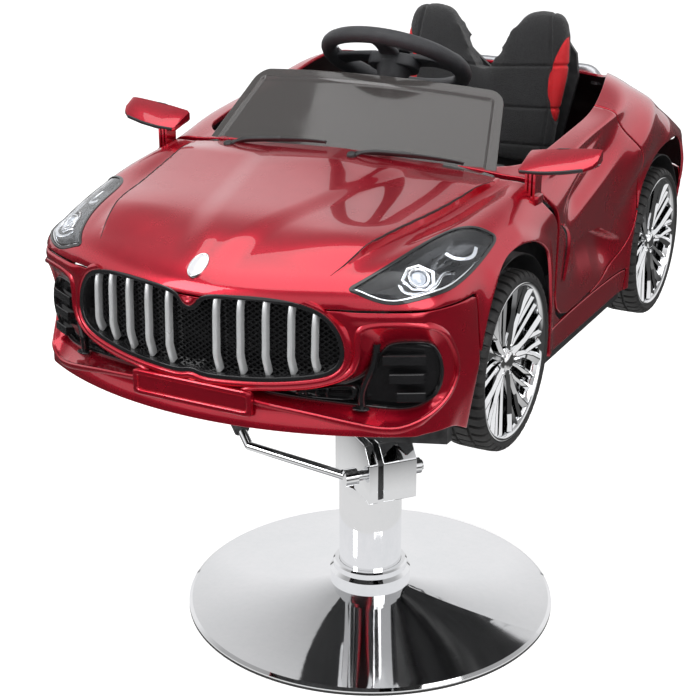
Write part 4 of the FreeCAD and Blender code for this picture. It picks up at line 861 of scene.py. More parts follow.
def paint_finish(name, colour, deep, flake):
    """Crimson lacquer: coloured metal flake under a clear coat."""
    made = finish_of(name, colour, deep, mottle_scale=3.0, rough=(0.24, 0.28), rough_scale=30.0,
                     constants={"Metallic": 0.75, "Coat Weight": 1.0, "Coat Roughness": 0.015,
                                "Coat IOR": 1.5, "Specular IOR Level": 0.4})
    tree = made.node_tree
    shader = tree.nodes["Principled BSDF"]
    cells = add(tree, "ShaderNodeTexVoronoi")
    cells.inputs["Scale"].default_value = 1400.0
    tree.links.new(add(tree, "ShaderNodeTexCoord").outputs["Object"], cells.inputs["Vector"])
    spread = add(tree, "ShaderNodeSeparateColor")
    tree.links.new(cells.outputs["Color"], spread.inputs[0])
    bump = add(tree, "ShaderNodeBump")
    bump.inputs["Strength"].default_value = 0.07
    bump.inputs["Distance"].default_value = flake
    tree.links.new(spread.outputs[0], bump.inputs["Height"])
    tree.links.new(bump.outputs[0], shader.inputs["Normal"])
    smooth = add(tree, "ShaderNodeBump")
    smooth.inputs["Strength"].default_value = 0.05
    smooth.inputs["Distance"].default_value = 0.00006
    tree.links.new(noise(tree, 260.0, 2.0), smooth.inputs["Height"])
    tree.links.new(smooth.outputs[0], shader.inputs["Coat Normal"])
    return made


paint = paint_finish("crimson_lacquer", (0.56, 0.006, 0.028), (0.5, 0.005, 0.024), 0.00001)
# Dark bare back of the panels; the bonnet's crease strip also uses it as painted shade
bare_back_and_crease_shade = finish_of("unpainted_back_and_crease_shade", (0.03, 0.004, 0.006), (0.018, 0.003, 0.004),
                       rough=(0.5, 0.65), grain=(spark_grain, 500.0, 0.0002))
chrome = finish_of("bright_chrome", (0.93, 0.93, 0.94), (0.88, 0.89, 0.9), rough=(0.015, 0.05),
                   rough_scale=9.0, grain=(spark_grain, 40.0, 0.00002),
                   constants={"Metallic": 1.0})
plated_bars = finish_of("plated_bars", (0.82, 0.83, 0.84), (0.74, 0.75, 0.76), rough=(0.2, 0.3),
                        grain=(spark_grain, 300.0, 0.00003),
                        constants={"Metallic": 0.45, "Coat Weight": 0.6})
turned_chrome = finish_of("turned_chrome", (0.92, 0.92, 0.93), (0.87, 0.88, 0.89),
                          rough=(0.02, 0.06), rough_scale=6.0,
                          grain=(turned_marks, 350.0, 0.000012), constants={"Metallic": 1.0})
dull_steel = finish_of("oiled_steel", (0.46, 0.46, 0.47), (0.34, 0.34, 0.35), rough=(0.28, 0.5),
                       grain=(spark_grain, 420.0, 0.0001), rub=(0.7, 0.7, 0.71),
                       constants={"Metallic": 1.0})
black_iron = finish_of("painted_iron", (0.028, 0.028, 0.03), (0.018, 0.018, 0.019),
                       rough=(0.4, 0.6), grain=(spark_grain, 260.0, 0.0004),
                       rub=(0.12, 0.12, 0.12))
bearing_bronze = finish_of("bearing_bronze", (0.62, 0.4, 0.18), (0.5, 0.31, 0.13),
                           rough=(0.25, 0.4), grain=(turned_marks, 500.0, 0.00004),
                           constants={"Metallic": 1.0})
gloss_black = finish_of("gloss_black", (0.01, 0.01, 0.011), (0.014, 0.014, 0.015),
                        rough=(0.07, 0.16), constants={"Coat Weight": 0.5, "Coat Roughness": 0.04})
grained_black = finish_of("grained_black", (0.022, 0.022, 0.024), (0.015, 0.015, 0.016),
                          rough=(0.38, 0.55), grain=(spark_grain, 700.0, 0.00025),
                          rub=(0.05, 0.05, 0.052))
dark_grey = finish_of("grip_grey", (0.024, 0.025, 0.029), (0.018, 0.019, 0.022),
                      rough=(0.34, 0.46), grain=(hide_grain, 420.0, 0.0003),
                      rub=(0.08, 0.08, 0.085))
satin_silver = finish_of("satin_silver", (0.5, 0.51, 0.53), (0.44, 0.45, 0.47), rough=(0.22, 0.32),
                         grain=(spark_grain, 900.0, 0.00005), constants={"Metallic": 0.7})
tyre_rubber = finish_of("tyre_rubber", (0.016, 0.016, 0.017), (0.026, 0.025, 0.024),
                        mottle_scale=11.0, rough=(0.55, 0.75), grain=(spark_grain, 520.0, 0.0004),
                        rub=(0.05, 0.048, 0.046))
ring_rubber = finish_of("ring_rubber", (0.02, 0.02, 0.02), (0.034, 0.033, 0.032), rough=(0.6, 0.8),
                        grain=(spark_grain, 300.0, 0.0004))
seat_cover = finish_of("seat_cover", (0.012, 0.012, 0.013), (0.019, 0.019, 0.021),
                       mottle_scale=18.0, rough=(0.55, 0.72), grain=(hide_grain, 480.0, 0.0006),
                       rub=(0.035, 0.035, 0.038),
                       constants={"Sheen Weight": 0.25, "Sheen Roughness": 0.4})
seat_red = finish_of("seat_red", (0.78, 0.01, 0.018), (0.68, 0.008, 0.015), mottle_scale=22.0,
                     rough=(0.45, 0.6), grain=(hide_grain, 520.0, 0.0004),
                     constants={"Sheen Weight": 0.06, "Sheen Roughness": 0.4})
lamp_black = finish_of("lamp_black", (0.02, 0.02, 0.023), (0.035, 0.035, 0.038),
                       rough=(0.16, 0.28), grain=(spark_grain, 400.0, 0.00008),
                       constants={"Coat Weight": 0.3})
eye_glass = finish_of("eye_glass", (0.7, 0.74, 0.8), (0.6, 0.64, 0.7), rough=(0.02, 0.05),
                      constants={"Metallic": 0.35, "Coat Weight": 1.0, "Coat Roughness": 0.02})
badge_enamel = finish_of("badge_enamel", (0.72, 0.72, 0.74), (0.66, 0.66, 0.69), rough=(0.12, 0.2),
                         grain=(spark_grain, 260.0, 0.00006),
                         constants={"Coat Weight": 0.8, "Coat Roughness": 0.03})
smoked = clear_finish("smoked_shield", (0.115, 0.108, 0.105), (0.06, 0.13), 1.5, share=0.5)
clear_lens = clear_finish("clear_lens", (0.9, 0.92, 0.95), (0.01, 0.03), 1.3, 0.0004)
red_lens = clear_finish("red_lens", (0.7, 0.02, 0.02), (0.03, 0.08), 1.4, 0.0006)


# Body skin

def section_table():
    """The body sections as arrays: (station, point) for x and z, mirrored to 15 points."""
    across = []
    rise = []
    for _, points in body_section_shares:
        half = [(body_x(x), body_z(z)) for x, z in points]
        whole = half + [(-x, z) for x, z in reversed(half[:-1])]
        across.append([point[0] for point in whole])
        rise.append([point[1] for point in whole])
    return np.array(across), np.array(rise)


def nose_line(x):
    """Where the front face of the body lies, as Y over X."""
    x = np.abs(x)
    reach, depth = nose_corner[0], nose_corner[1] - nose_y
    radius = (reach ** 2 + depth ** 2) / (2.0 * depth)
    arc = nose_y + radius - np.sqrt(np.maximum(radius ** 2 - x ** 2, 0.0))
    slope = (nose_side[1] - nose_corner[1]) / (nose_side[0] - nose_corner[0])
    return np.where(x < reach, arc, nose_corner[1] + (x - reach) * slope)


def tail_line(x):
    """Where the rear face of the body lies, as Y over X."""
    x = np.abs(x)
    end = nose_y + body_length
    past = np.maximum(x - tail_corner[0], 0.0) * 1000.0
    arc = end - (end - tail_corner[1]) * (x / tail_corner[0]) ** 2
    return np.where(x < tail_corner[0], arc,
                    tail_corner[1] - (0.136 * past + 0.0069 * past ** 2) / 1000.0)


class BodySkin:
    """The smooth outer surface of the body, read by share of length and place round it."""

    def __init__(self, columns):
        across, rise = section_table()
        self.knots = np.array([share for share, _ in body_section_shares])
        round_knots = np.arange(across.shape[1], dtype=float)
        dense = np.linspace(0.0, 7.0, 400)
        places = np.repeat(dense[:, None], across.shape[0], axis=1)
        dense_x = spline_at(round_knots, across.T, spline_bends(round_knots, across.T), places)
        dense_z = spline_at(round_knots, rise.T, spline_bends(round_knots, rise.T), places)
        steps = np.hypot(np.diff(dense_x.mean(1)), np.diff(dense_z.mean(1)))
        runs = np.concatenate([[0.0], np.cumsum(steps)])
        spots = np.interp(np.linspace(0.0, runs[-1], columns), runs, dense)
        places = np.repeat(spots[:, None], across.shape[0], axis=1)
        self.x = spline_at(round_knots, across.T, spline_bends(round_knots, across.T), places).T
        self.z = spline_at(round_knots, rise.T, spline_bends(round_knots, rise.T), places).T
        self.x[:, -1] = 0.0
        self.x_bends = spline_bends(self.knots, self.x)
        self.z_bends = spline_bends(self.knots, self.z)

    def at(self, shares):
        """Points for shares of the length, laid out in rows by column."""
        x = spline_at(self.knots, self.x, self.x_bends, shares)
        z = spline_at(self.knots, self.z, self.z_bends, shares)
        return np.stack([x, nose_y + shares * body_length, z], axis=-1)

    def bowed(self, rows):
        """Points for rows from 0 at the bowed nose to 1 at the bowed tail."""
        rows = np.repeat(np.asarray(rows)[:, None], self.x.shape[1], axis=1)
        shares = rows.copy()
        for _ in range(12):
            x = self.at(np.clip(shares, 0.0, 1.0))[..., 0]
            low = (nose_line(x) - nose_y) / body_length
            high = (tail_line(x) - nose_y) / body_length
            shares = 0.5 * shares + 0.5 * (low + rows * (high - low))
        return self.at(shares)


def rounded_end(edge, back, towards, line, radius, face_rows):
    """Rows that round an end of the skin and close it with a face shrinking to a point."""
    pull = towards - edge
    pull[:, 1] = 0.0
    length = np.linalg.norm(pull, axis=1)
    reach = np.minimum(radius, 0.45 * length)
    inner = edge + pull * (reach / np.maximum(length, 1e-9))[:, None]
    inner[:, 1] = line(inner[:, 0])
    rows = []
    for share in np.linspace(0.0, 1.0, 8)[1:]:
        rows.append(back * (1 - share) ** 2 + edge * 2 * share * (1 - share) + inner * share ** 2)
    for share in np.linspace(0.0, 1.0, face_rows)[1:]:
        row = inner + (towards - inner) * share
        row[:, 1] = line(row[:, 0])
        rows.append(row)
    return rows


def ridge(across, soft):
    """A raised line: 1 at its middle, falling smoothly, with a rounded top."""
    return np.sqrt(across ** 2 + soft ** 2)


def line_place(points, start, end):
    """Share along a straight line and distance to its left, for flat points."""
    start = np.array(start)
    run = np.array(end) - start
    length = np.linalg.norm(run)
    run = run / length
    offset = points - start
    return offset @ run / length, offset[:, 0] * run[1] - offset[:, 1] * run[0]


def crease_distance(points):
    """How far a point is outside the long crease of the bonnet, in plan."""
    line = np.array(crease_line)
    return 0.97 * (np.abs(points[:, 0]) - np.interp(points[:, 1], line[:, 1], line[:, 0]))


def door_lens_distance(points):
    """How far a point is above the sharp upper edge of the door's lower hollow."""
    line = np.array(lens_line)
    return np.interp(points[:, 1], line[:, 0], line[:, 1]) - points[:, 2]


def shaped(points, normals):
    """Creases, hollows and swells pressed into the skin, along its normals."""
    x = np.abs(points[:, 0])
    y = points[:, 1]
    z = points[:, 2]
    lift = np.zeros(len(points))
    top = smooth_step(normals[:, 2], 0.25, 0.7)
    side = smooth_step(normals[:, 0], 0.45, 0.8)
    # Bonnet: a raised middle whose edge steps down along two creases
    off = crease_distance(points)
    step = (crease_step * smooth_step(y, crease_line[0][1], crease_line[0][1] + 0.075)
            * smooth_step(y, -0.085, -0.15) * smooth_step(normals[:, 2], 0.1, 0.4))
    inner = 0.2 + 0.8 * smooth_step(off, -0.13, -0.006)
    lift += step * np.where(off <= 0.0, inner, 1.0 - smooth_step(off, 0.0, crease_width))
    lift -= 0.35 * step * np.exp(-((off - 0.014) / 0.012) ** 2) * (off > 0.0)
    # Bonnet: a soft raised middle that narrows to the tip above the mouth
    share, off = line_place(np.stack([x, y], 1), (0.018, -0.462), (0.11, -0.112))
    along = smooth_step(share, 0.0, 0.2) * smooth_step(share, 1.1, 0.8) * top
    lift += 0.0035 * along * smooth_step(off, 0.02, -0.02)
    # Wing: the crown over the front wheel
    swell = np.exp(-((y + 0.165) / 0.115) ** 2) * smooth_step(z, 0.645, 0.7)
    lift += 0.006 * swell * smooth_step(x, 0.225, 0.27)
    # Door and wing: a blade hollow under the shoulder line, deepest behind the wing
    share, off = line_place(np.stack([y, z], 1), (-0.035, 0.64), (0.225, 0.712))
    blade = smooth_step(share, 0.02, 0.35) * smooth_step(share, 1.05, 0.6)
    lift -= 0.015 * blade * side * smooth_step(ridge(off + 0.006, 0.006), 0.032, 0.004)
    # Door: the lower light catcher, a lens-shaped hollow with a sharp upper edge
    off = door_lens_distance(points)
    lens = smooth_step(y, 0.02, 0.11) * smooth_step(y, 0.275, 0.19)
    depth = np.where(off > 0.0, smooth_step(off, 0.0, 0.01) * smooth_step(off, 0.08, 0.014), 0.0)
    lift -= 0.0185 * lens * depth * side
    # Haunch: a fold that starts on the door and sweeps up over the rear wheel
    fold = 0.65 + 0.085 * smooth_step(y, 0.16, 0.4) - 0.02 * smooth_step(y, 0.46, 0.6)
    swell = smooth_step(y, 0.17, 0.33) * smooth_step(y, 0.61, 0.52)
    lift += 0.011 * swell * np.clip(1.0 - ridge(z - fold, 0.006) / 0.07, 0.0, 1.0) ** 1.4 * side
    lift -= 0.006 * swell * np.exp(-((z - fold + 0.075) / 0.03) ** 2) * side
    # Wheel arches: a lip that stands proud round each opening
    for (middle, height), outline in ((front_axle, front_arch_shares),
                                      (rear_axle, rear_arch_shares)):
        ring = np.array(outline) * tyre_radius + np.array((middle, height))
        gap = outline_distance(np.stack([y, z], 1), ring)
        lift += 0.005 * smooth_step(normals[:, 0], 0.2, 0.6) * np.exp(-(gap / 0.016) ** 2)
    # Nose: a chin that stands forward under the plate, and a brow over the intakes
    front = smooth_step(-normals[:, 1], 0.55, 0.9) * smooth_step(y, -0.3, -0.36)
    lift += 0.005 * front * smooth_step(z, 0.512, 0.486)
    lift += 0.004 * front * np.exp(-((z - 0.628) / 0.008) ** 2) * smooth_step(x, 0.18, 0.2)
    return lift


def make_skin():
    """The half skin, at X over zero, as points and quads, its rows from nose to tail."""
    columns = 150
    skin = BodySkin(columns)
    margin = nose_round / body_length
    body_rows = np.concatenate([[0.0], np.linspace(margin, 1.0 - tail_round / body_length, 206),
                                [1.0]])
    grid = skin.bowed(body_rows)
    edge = grid[0].copy()
    pole = np.zeros_like(edge)
    pole[:, 2] = body_z(0.0)
    pole[:, 1] = nose_line(np.zeros(columns))
    front = rounded_end(edge, grid[1], pole, nose_line, nose_round, 56)
    tail_edge = grid[-1].copy()
    tail_pole = pole.copy()
    tail_pole[:, 1] = tail_line(np.zeros(columns))
    back = rounded_end(tail_edge, grid[-2], tail_pole, tail_line, tail_round, 46)
    rows = list(reversed(front)) + list(grid[1:-1]) + back
    points = np.concatenate(rows)
    faces = grid_faces(len(rows), columns)
    mesh = to_bmesh(points, faces)
    bmesh.ops.remove_doubles(mesh, verts=mesh.verts, dist=0.0004)
    bmesh.ops.recalc_face_normals(mesh, faces=mesh.faces)
    mesh.normal_update()
    middle = max(mesh.faces, key=lambda face: face.calc_center_median().x)
    if middle.normal.x < 0.0:
        bmesh.ops.reverse_faces(mesh, faces=mesh.faces)
        mesh.normal_update()
    score(mesh, crease_distance)
    score(mesh, lambda p: crease_distance(p) - crease_width)
    score(mesh, door_lens_distance)
    score(mesh, lambda p: door_lens_distance(p) - 0.005)
    mesh.normal_update()
    places = np.array([corner.co for corner in mesh.verts])
    normals = np.array([corner.normal for corner in mesh.verts])
    lift = shaped(places, normals)
    for corner, height in zip(mesh.verts, lift):
        if corner.co.x < 1e-6:
            corner.co.x = 0.0
            corner.co += Vector((0.0, corner.normal.y, corner.normal.z)) * height
        else:
            corner.co += corner.normal * height
    mesh.normal_update()
    return mesh


skin_mesh = make_skin()
skin_tree = BVHTree.FromBMesh(skin_mesh)


def on_skin(start, way):
    """Where a line meets the skin, and the skin's normal there, on the left half."""
    hit, normal, _, _ = skin_tree.ray_cast(Vector(start), Vector(way))
    if hit is None:
        hit, normal, _, _ = skin_tree.find_nearest(Vector(start))
    return hit, normal


def on_nose(x, z):
    return on_skin((max(abs(x), 1e-4), -0.6, z), (0.0, 1.0, 0.0))


# Distance functions that cut the skin into panels: below zero is inside the named area

def share_outline(shares, first, second, rounds=2):
    outline = [(first(a), second(b)) for a, b in shares]
    return round_corners(outline, rounds) if rounds else np.array(outline)


door_outline = share_outline(door_outline_shares, body_y, body_z, 2)
cockpit_outline = share_outline(cockpit_plan_shares, body_x, body_y, 3)
front_arch = np.array(front_arch_shares) * tyre_radius + np.array(front_axle)
rear_arch = np.array(rear_arch_shares) * tyre_radius + np.array(rear_axle)
front_arch = even_curve(front_arch, 60)
rear_arch = even_curve(rear_arch, 60)
lamp_right = lamp_facing.cross(Vector((0.0, 0.0, 1.0))).normalized()
lamp_up = lamp_right.cross(lamp_facing).normalized()
lamp_axes = np.array([lamp_right, lamp_up]).T
lamp_outline = round_corners(np.array(lamp_edge) @ lamp_axes, 3)
grille_ring = round_corners(grille_outline, 3)
mouth_ring = round_corners(mouth_outline, 3)
side_line = 0.16
bumper_top = body_z(0.532)
bumper_rear = body_y(0.148)
sill_top = body_z(0.112)
sill_front = body_y(0.405)
sill_rear = body_y(0.693)
rear_bumper_top = body_z(0.4)
rear_bumper_front = body_y(0.955)
tail_lamp_x = (body_x(0.42), body_x(0.9))
tail_lamp_z = (body_z(0.5), body_z(0.6))
body_middle = body_y(0.52)
panel_gap = shut_line / 2.0 + 0.0005


def in_door(p):
    flat = outline_distance(p[:, 1:], door_outline)
    return np.maximum(flat, side_line - p[:, 0])


def near_door(p):
    """The door with the room that its front edge sweeps through, wider at shoulder height."""
    wider = shoulder_gap * smooth_step(p[:, 2], shoulder_low, shoulder_high)
    return in_door(p) - door_front_gap - wider


def in_cockpit(p):
    return np.maximum(outline_distance(p[:, :2], cockpit_outline), body_z(0.55) - p[:, 2])


def in_front_arch(p):
    return np.maximum(outline_distance(p[:, 1:], front_arch), side_line - p[:, 0])


def in_rear_arch(p):
    return np.maximum(outline_distance(p[:, 1:], rear_arch), side_line - p[:, 0])


def in_lamp(p):
    flat = outline_distance(p @ lamp_axes, lamp_outline)
    return np.maximum(flat, np.maximum(p[:, 1] + 0.15, 0.6 - p[:, 2]))


def in_grille(p):
    flat = outline_distance(p[:, (0, 2)], grille_ring)
    return np.maximum(flat, p[:, 1] + 0.3)


def in_mouth(p):
    flat = outline_distance(p[:, (0, 2)], mouth_ring)
    return np.maximum(flat, p[:, 1] + 0.25)


def in_bumper(p):
    return np.maximum(p[:, 2] - bumper_top, p[:, 1] - bumper_rear)


def in_sill(p):
    return np.maximum(p[:, 2] - sill_top, np.maximum(sill_front - p[:, 1],
                                                     p[:, 1] - sill_rear))


def in_rear_bumper(p):
    return np.maximum(p[:, 2] - rear_bumper_top, rear_bumper_front - p[:, 1])


def in_tail_lamp(p):
    corners = [(tail_lamp_x[0], tail_lamp_z[0]), (tail_lamp_x[1], tail_lamp_z[0]),
               (tail_lamp_x[1], tail_lamp_z[1]), (tail_lamp_x[0], tail_lamp_z[1])]
    flat = outline_distance(p[:, (0, 2)], round_corners(corners, 3))
    return np.maximum(flat, 0.565 - p[:, 1])


def below_chin(p):
    """The open space under the nose, whose lower edge is higher than the sills."""
    return p[:, 2] - sill_z - chin_rise * smooth_step(-p[:, 1], chin_back, chin_front)


def grown(distance, size):
    """The same area, larger by a size."""
    return lambda p: distance(p) - size


def cut_skin(outside, inside=()):
    """The part of the half skin that is outside some areas and inside others."""
    mesh = skin_mesh.copy()
    for distance in inside:
        trim(mesh, distance, keep_below=True)
    for distance in outside:
        trim(mesh, distance)
    loose = [corner for corner in mesh.verts if not corner.link_faces]
    bmesh.ops.delete(mesh, geom=loose, context="VERTS")
    return mesh


def panel(name, mesh, stands_for, body="carriage", back=None):
    """A red panel of the body with the bare side of its material behind it."""
    piece(name, mesh, [paint, back or bare_back_and_crease_shade], body, outward=False,
          stands_for=stands_for)


def body_panels():
    """Bonnet and wings, nose, rear body, rear bumper, doors and sills."""
    round_door, round_sill = grown(in_door, panel_gap), grown(in_sill, panel_gap)
    bonnet = cut_skin([grown(in_bumper, panel_gap), near_door, in_cockpit, in_front_arch,
                       in_lamp, in_grille, round_sill],
                      [lambda p: p[:, 1] - body_middle + panel_gap])
    panel("bonnet_and_wings", thicken(both_sides(bonnet)), "front_body")
    nose = cut_skin([in_front_arch, in_lamp, in_grille, in_mouth, below_chin],
                    [grown(in_bumper, -panel_gap)])
    panel("nose_panel", thicken(both_sides(nose)), "front_bumper")
    tail = cut_skin([round_door, in_cockpit, in_rear_arch, grown(in_rear_bumper, panel_gap),
                     round_sill, grown(in_tail_lamp, 0.001)],
                    [lambda p: body_middle + panel_gap - p[:, 1]])
    panel("haunches_and_tail", thicken(both_sides(tail)), "rear_body")
    bumper = cut_skin([in_rear_arch], [grown(in_rear_bumper, -panel_gap)])
    panel("tail_bumper", thicken(both_sides(bumper)), "rear_bumper")
    sill = cut_skin([round_door], [grown(in_sill, -panel_gap)])
    panel("sills", pair(thicken(sill)), "sill_panels")
    door = thicken(cut_skin([in_cockpit, in_front_arch, in_rear_arch],
                            [grown(in_door, -panel_gap)]), door_thickness)
    panel("door_skin_right", mirrored(door), "door_right", "door_right", grained_black)
    panel("door_skin_left", door, "door_left", "door_left", grained_black)


def crease_shadow():
    """A dark strip along each crease of the bonnet, laid on the skin as painted shade for the step.
    """
    path = []
    for x, y in even_curve(crease_line, 60):
        place, normal = on_skin((x, y, 1.2), (0.0, 0.0, -1.0))
        path.append(place + normal * 0.0001)
    sizes = [0.15 + 0.85 * math.sin(math.pi * share) ** 0.6 for share in np.linspace(0, 1, 60)]
    mesh = sweep(path, fillet([(-0.0017, -0.002), (-0.0012, 0.0004), (0.0012, 0.0004),
                               (0.0017, -0.002)], 0.0005, 2, closed=True), scale=sizes)
    piece("bonnet_crease_painted_shade", pair(mesh), bare_back_and_crease_shade)


body_panels()
crease_shadow()


# Nose

def full_outline(half):
    """A closed outline across the middle plane from a rounded half outline."""
    kept = [tuple(point) for point in half if point[0] > 0.001]
    start = max(range(len(kept)), key=lambda i: np.hypot(kept[i][0] - kept[i - 1][0],
                                                         kept[i][1] - kept[i - 1][1]))
    kept = kept[start:] + kept[:start]
    return kept + [(-x, z) for x, z in reversed(kept)]


def ring_on_nose(outline):
    """Points and normals where an outline of (x, z) lies on the nose."""
    points = []
    normals = []
    for x, z in outline:
        hit, normal = on_nose(x, z)
        points.append(Vector((x, hit.y, z)))
        normals.append(Vector((math.copysign(normal.x, x) if x else 0.0, normal.y, normal.z)))
    return points, smooth_ring(normals, 3)


def smooth_ring(vectors, rounds):
    for _ in range(rounds):
        vectors = [(vectors[i - 1] + vectors[i] * 2.0 + vectors[(i + 1) % len(vectors)]).normalized()
                   for i in range(len(vectors))]
    return vectors


def ring_frames(points, normals):
    """Directions that point outwards in the surface, all round a closed ring."""
    centre = sum(points, Vector()) / len(points)
    area = Vector()
    for first, second in zip(points, points[1:] + points[:1]):
        area += (first - centre).cross(second - centre)
    mean = sum(normals, Vector())
    turn = 1.0 if area.dot(mean) > 0.0 else -1.0
    ways = []
    for index, normal in enumerate(normals):
        run = points[(index + 1) % len(points)] - points[index - 1]
        ways.append((run.cross(normal) * turn).normalized())
    return smooth_ring(ways, 2)


def strip(points, normals, profile, ways=None):
    """A band round a closed ring, its section given as (outwards, above the surface)."""
    ways = ways or ring_frames(points, normals)
    made = []
    for across, above in profile:
        for point, normal, way in zip(points, normals, ways):
            made.append(point + way * across + normal * above)
    faces = grid_faces(len(profile), len(points), wrap_rows=True, wrap_columns=True)
    mesh = to_bmesh(made, faces)
    bmesh.ops.recalc_face_normals(mesh, faces=mesh.faces)
    return mesh


def funnel(rings):
    """A closed wall through matched rings, given a thickness behind it."""
    mesh = rows_mesh(rings)
    mesh.normal_update()
    return thicken(mesh, 0.0012, 0.0003, inner_index=0)


grille_full = full_outline(grille_ring)
grille_points, grille_normals = ring_on_nose(grille_full)
grille_depth = 0.02
intake_edge = 0.262


def make_grille():
    gasket = strip(grille_points, grille_normals,
                   fillet([(0.0012, -0.004), (0.0012, 0.0016), (-0.004, 0.001),
                           (-0.0044, -0.006)], 0.0008, closed=True))
    piece("mouth_gasket", gasket, gloss_black, stands_for="grille_mesh")
    wall = strip(grille_points, grille_normals, [(-0.0036, 0.0), (-0.0036, -grille_depth),
                                                 (-0.0016, -grille_depth), (-0.0016, -0.001)])
    piece("mouth_wall", wall, gloss_black)
    lip = strip(grille_points, grille_normals,
                fillet([(0.0008, -0.003), (0.0014, 0.0026), (0.0058, 0.004), (0.01, 0.0012),
                        (0.012, -0.002)], 0.0022, closed=True))
    trim(lip, lambda p: p[:, 2] - (0.616 + 0.03 * smooth_step(np.abs(p[:, 0]), 0.19, 0.15)
                                   - 0.012 * smooth_step(np.abs(p[:, 0]), 0.15, 0.12)),
         keep_below=True)
    cap_holes(lip)
    piece("mouth_lip", lip, paint)


def cap_holes(mesh, sides=0):
    rim = [edge for edge in mesh.edges if edge.is_boundary]
    if rim:
        bmesh.ops.holes_fill(mesh, edges=rim, sides=sides)


def lattice():
    """Two crossing rows of slanted bars behind the mouth, cut to it and bent with the nose."""
    bars = []
    reach = 0.45
    for way, depth in ((1.0, 0.0), (-1.0, 0.0011)):
        steps = 46
        path = [(-reach / 2 * way + reach * way * step / (steps - 1) - 0.24,
                 depth, 0.41 + 0.235 * step / (steps - 1) * 1.35) for step in range(steps)]
        bar = sweep(path, [(-0.0013, -0.0008), (0.0013, -0.0008), (0.0009, 0.001),
                           (-0.0009, 0.001)], up=(0.0, -1.0, 0.0))
        bars.append(repeated(bar, row_tree, 52, (0.0094, 0.0, 0.0), gloss_black))
    mesh = joined(bars)
    ring = np.array(grille_full)
    trim(mesh, lambda p: outline_distance(p[:, (0, 2)], ring) + 0.003, keep_below=True, snap=0.0)
    cap_holes(mesh, 10)
    places = np.array([corner.co for corner in mesh.verts])
    back = nose_line(places[:, 0]) + grille_depth - 0.005
    for corner, depth in zip(mesh.verts, back):
        corner.co.y += depth
    piece("mouth_lattice", mesh, gloss_black)
    backing = []
    ways = ring_frames(grille_points, grille_normals)
    inner = [point - way * 0.003 + Vector((0.0, grille_depth, 0.0)) for point, way in
             zip(grille_points, ways)]
    outer = [point + Vector((0.0, 0.002, 0.0)) for point in inner]
    half = len(inner) // 2
    for index in range(half - 1):
        for ring_points, flip in ((inner, False), (outer, True)):
            quad = [ring_points[index], ring_points[index + 1],
                    ring_points[len(inner) - 2 - index], ring_points[len(inner) - 1 - index]]
            backing.append(list(reversed(quad)) if flip else quad)
    flat = bmesh.new()
    for quad in backing:
        flat.faces.new([flat.verts.new(point) for point in quad])
    bmesh.ops.remove_doubles(flat, verts=flat.verts, dist=weld)
    piece("mouth_back", flat, grained_black)


def grille_bar(x, low, high):
    """One bright upright bar, kinked in its lower quarter, with a rounded face."""
    kink = low + 0.27 * (high - low)
    front = float(nose_line(np.array(x)))
    path = even_curve([(x, front + 0.007, high), (x, front + 0.0036, high - 0.012),
                       (x, front + 0.0015, kink + 0.01), (x, front + 0.001, kink),
                       (x, front + 0.0035, kink - 0.01), (x, front + 0.0085, low)], 22)
    section = fillet([(-0.0031, -0.0075), (-0.0031, 0.0006), (-0.0019, 0.0024), (0.0019, 0.0024),
                      (0.0031, 0.0006), (0.0031, -0.0075)], 0.0009, 2, closed=True)
    return sweep(path, section, up=(0.0, -1.0, 0.0))


def make_bars():
    bars = []
    ring = np.array(grille_full)
    for x in (0.033, 0.064, 0.095, 0.125, 0.152):
        heights = np.linspace(0.52, 0.66, 280)
        flat = outline_distance(np.stack([np.full(280, x), heights], 1), ring)
        inside = heights[flat < -0.0045]
        bars.append(grille_bar(x, inside[0], inside[-1]))
    piece("mouth_bars", pair(joined(bars)), plated_bars, sharp=50.0,
          stands_for="grille_bars")


def make_plate():
    """The plate below the mouth: body red, bare, with a raised frame."""
    low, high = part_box("blank_plate")
    middle_z = (low[2] + high[2]) / 2.0
    half_x = (high[0] - low[0]) / 2.0 - 0.0005
    half_z = (high[2] - low[2]) / 2.0 - 0.0005
    outline = round_corners([(-half_x, -half_z), (half_x, -half_z), (half_x, half_z),
                             (-half_x, half_z)], 1, 0.04)
    outline = fillet(outline, 0.004, 3, closed=True)
    rows = []
    for inset, depth in ((0.0, 0.006), (0.0, 0.0012), (0.0014, 0.0003), (0.0052, 0.0003),
                         (0.0064, 0.0012), (0.0072, 0.0034)):
        ring = [(x * (1.0 - inset / half_x), z * (1.0 - inset / half_z)) for x, z in outline]
        rows.append([(x, low[1] + 0.0004 + depth + 0.0045 * (x / half_x) ** 2, middle_z + z)
                     for x, z in ring])
    mesh = rows_mesh(rows, foot=True, crown=True)
    piece("bare_plate", mesh, paint, sharp=28.0, stands_for="blank_plate")


def make_badge():
    """A plain oval badge place on the bonnet's tip, with a bright rim."""
    low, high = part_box("hood_badge")
    centre = (low + high) / 2.0
    hit, normal = on_skin((0.0005, centre.y, 0.9), (0.0, 0.0, -1.0))
    normal = Vector((0.0, normal.y, normal.z)).normalized()
    place = Vector((0.0, hit.y, hit.z)) + normal * 0.0006
    right = Vector((1.0, 0.0, 0.0))
    up = normal.cross(right)
    ring = oval(0.0115, 0.019, 48)
    count = len(ring)

    def levels(steps):
        return [[place + right * x * grow + up * z * grow + normal * height for x, z in ring]
                for grow, height in steps]

    rim = rows_mesh(levels(((1.0, -0.002), (1.0, 0.001), (0.95, 0.0019), (0.88, 0.0019),
                            (0.85, 0.0012))), wrap_rows=True)
    piece("badge_rim", rim, chrome, sharp=60.0, stands_for="hood_badge")
    rows = levels(((0.86, -0.001), (0.86, 0.0012), (0.6, 0.0022), (0.3, 0.0028)))
    points = [point for row in rows for point in row] + [place + normal * 0.003]
    faces = grid_faces(4, count, wrap_columns=True)
    faces += [(3 * count + i, 3 * count + (i + 1) % count, 4 * count) for i in range(count)]
    faces.append(tuple(range(count)))
    piece("badge_face", to_bmesh(points, faces), badge_enamel, sharp=70.0)


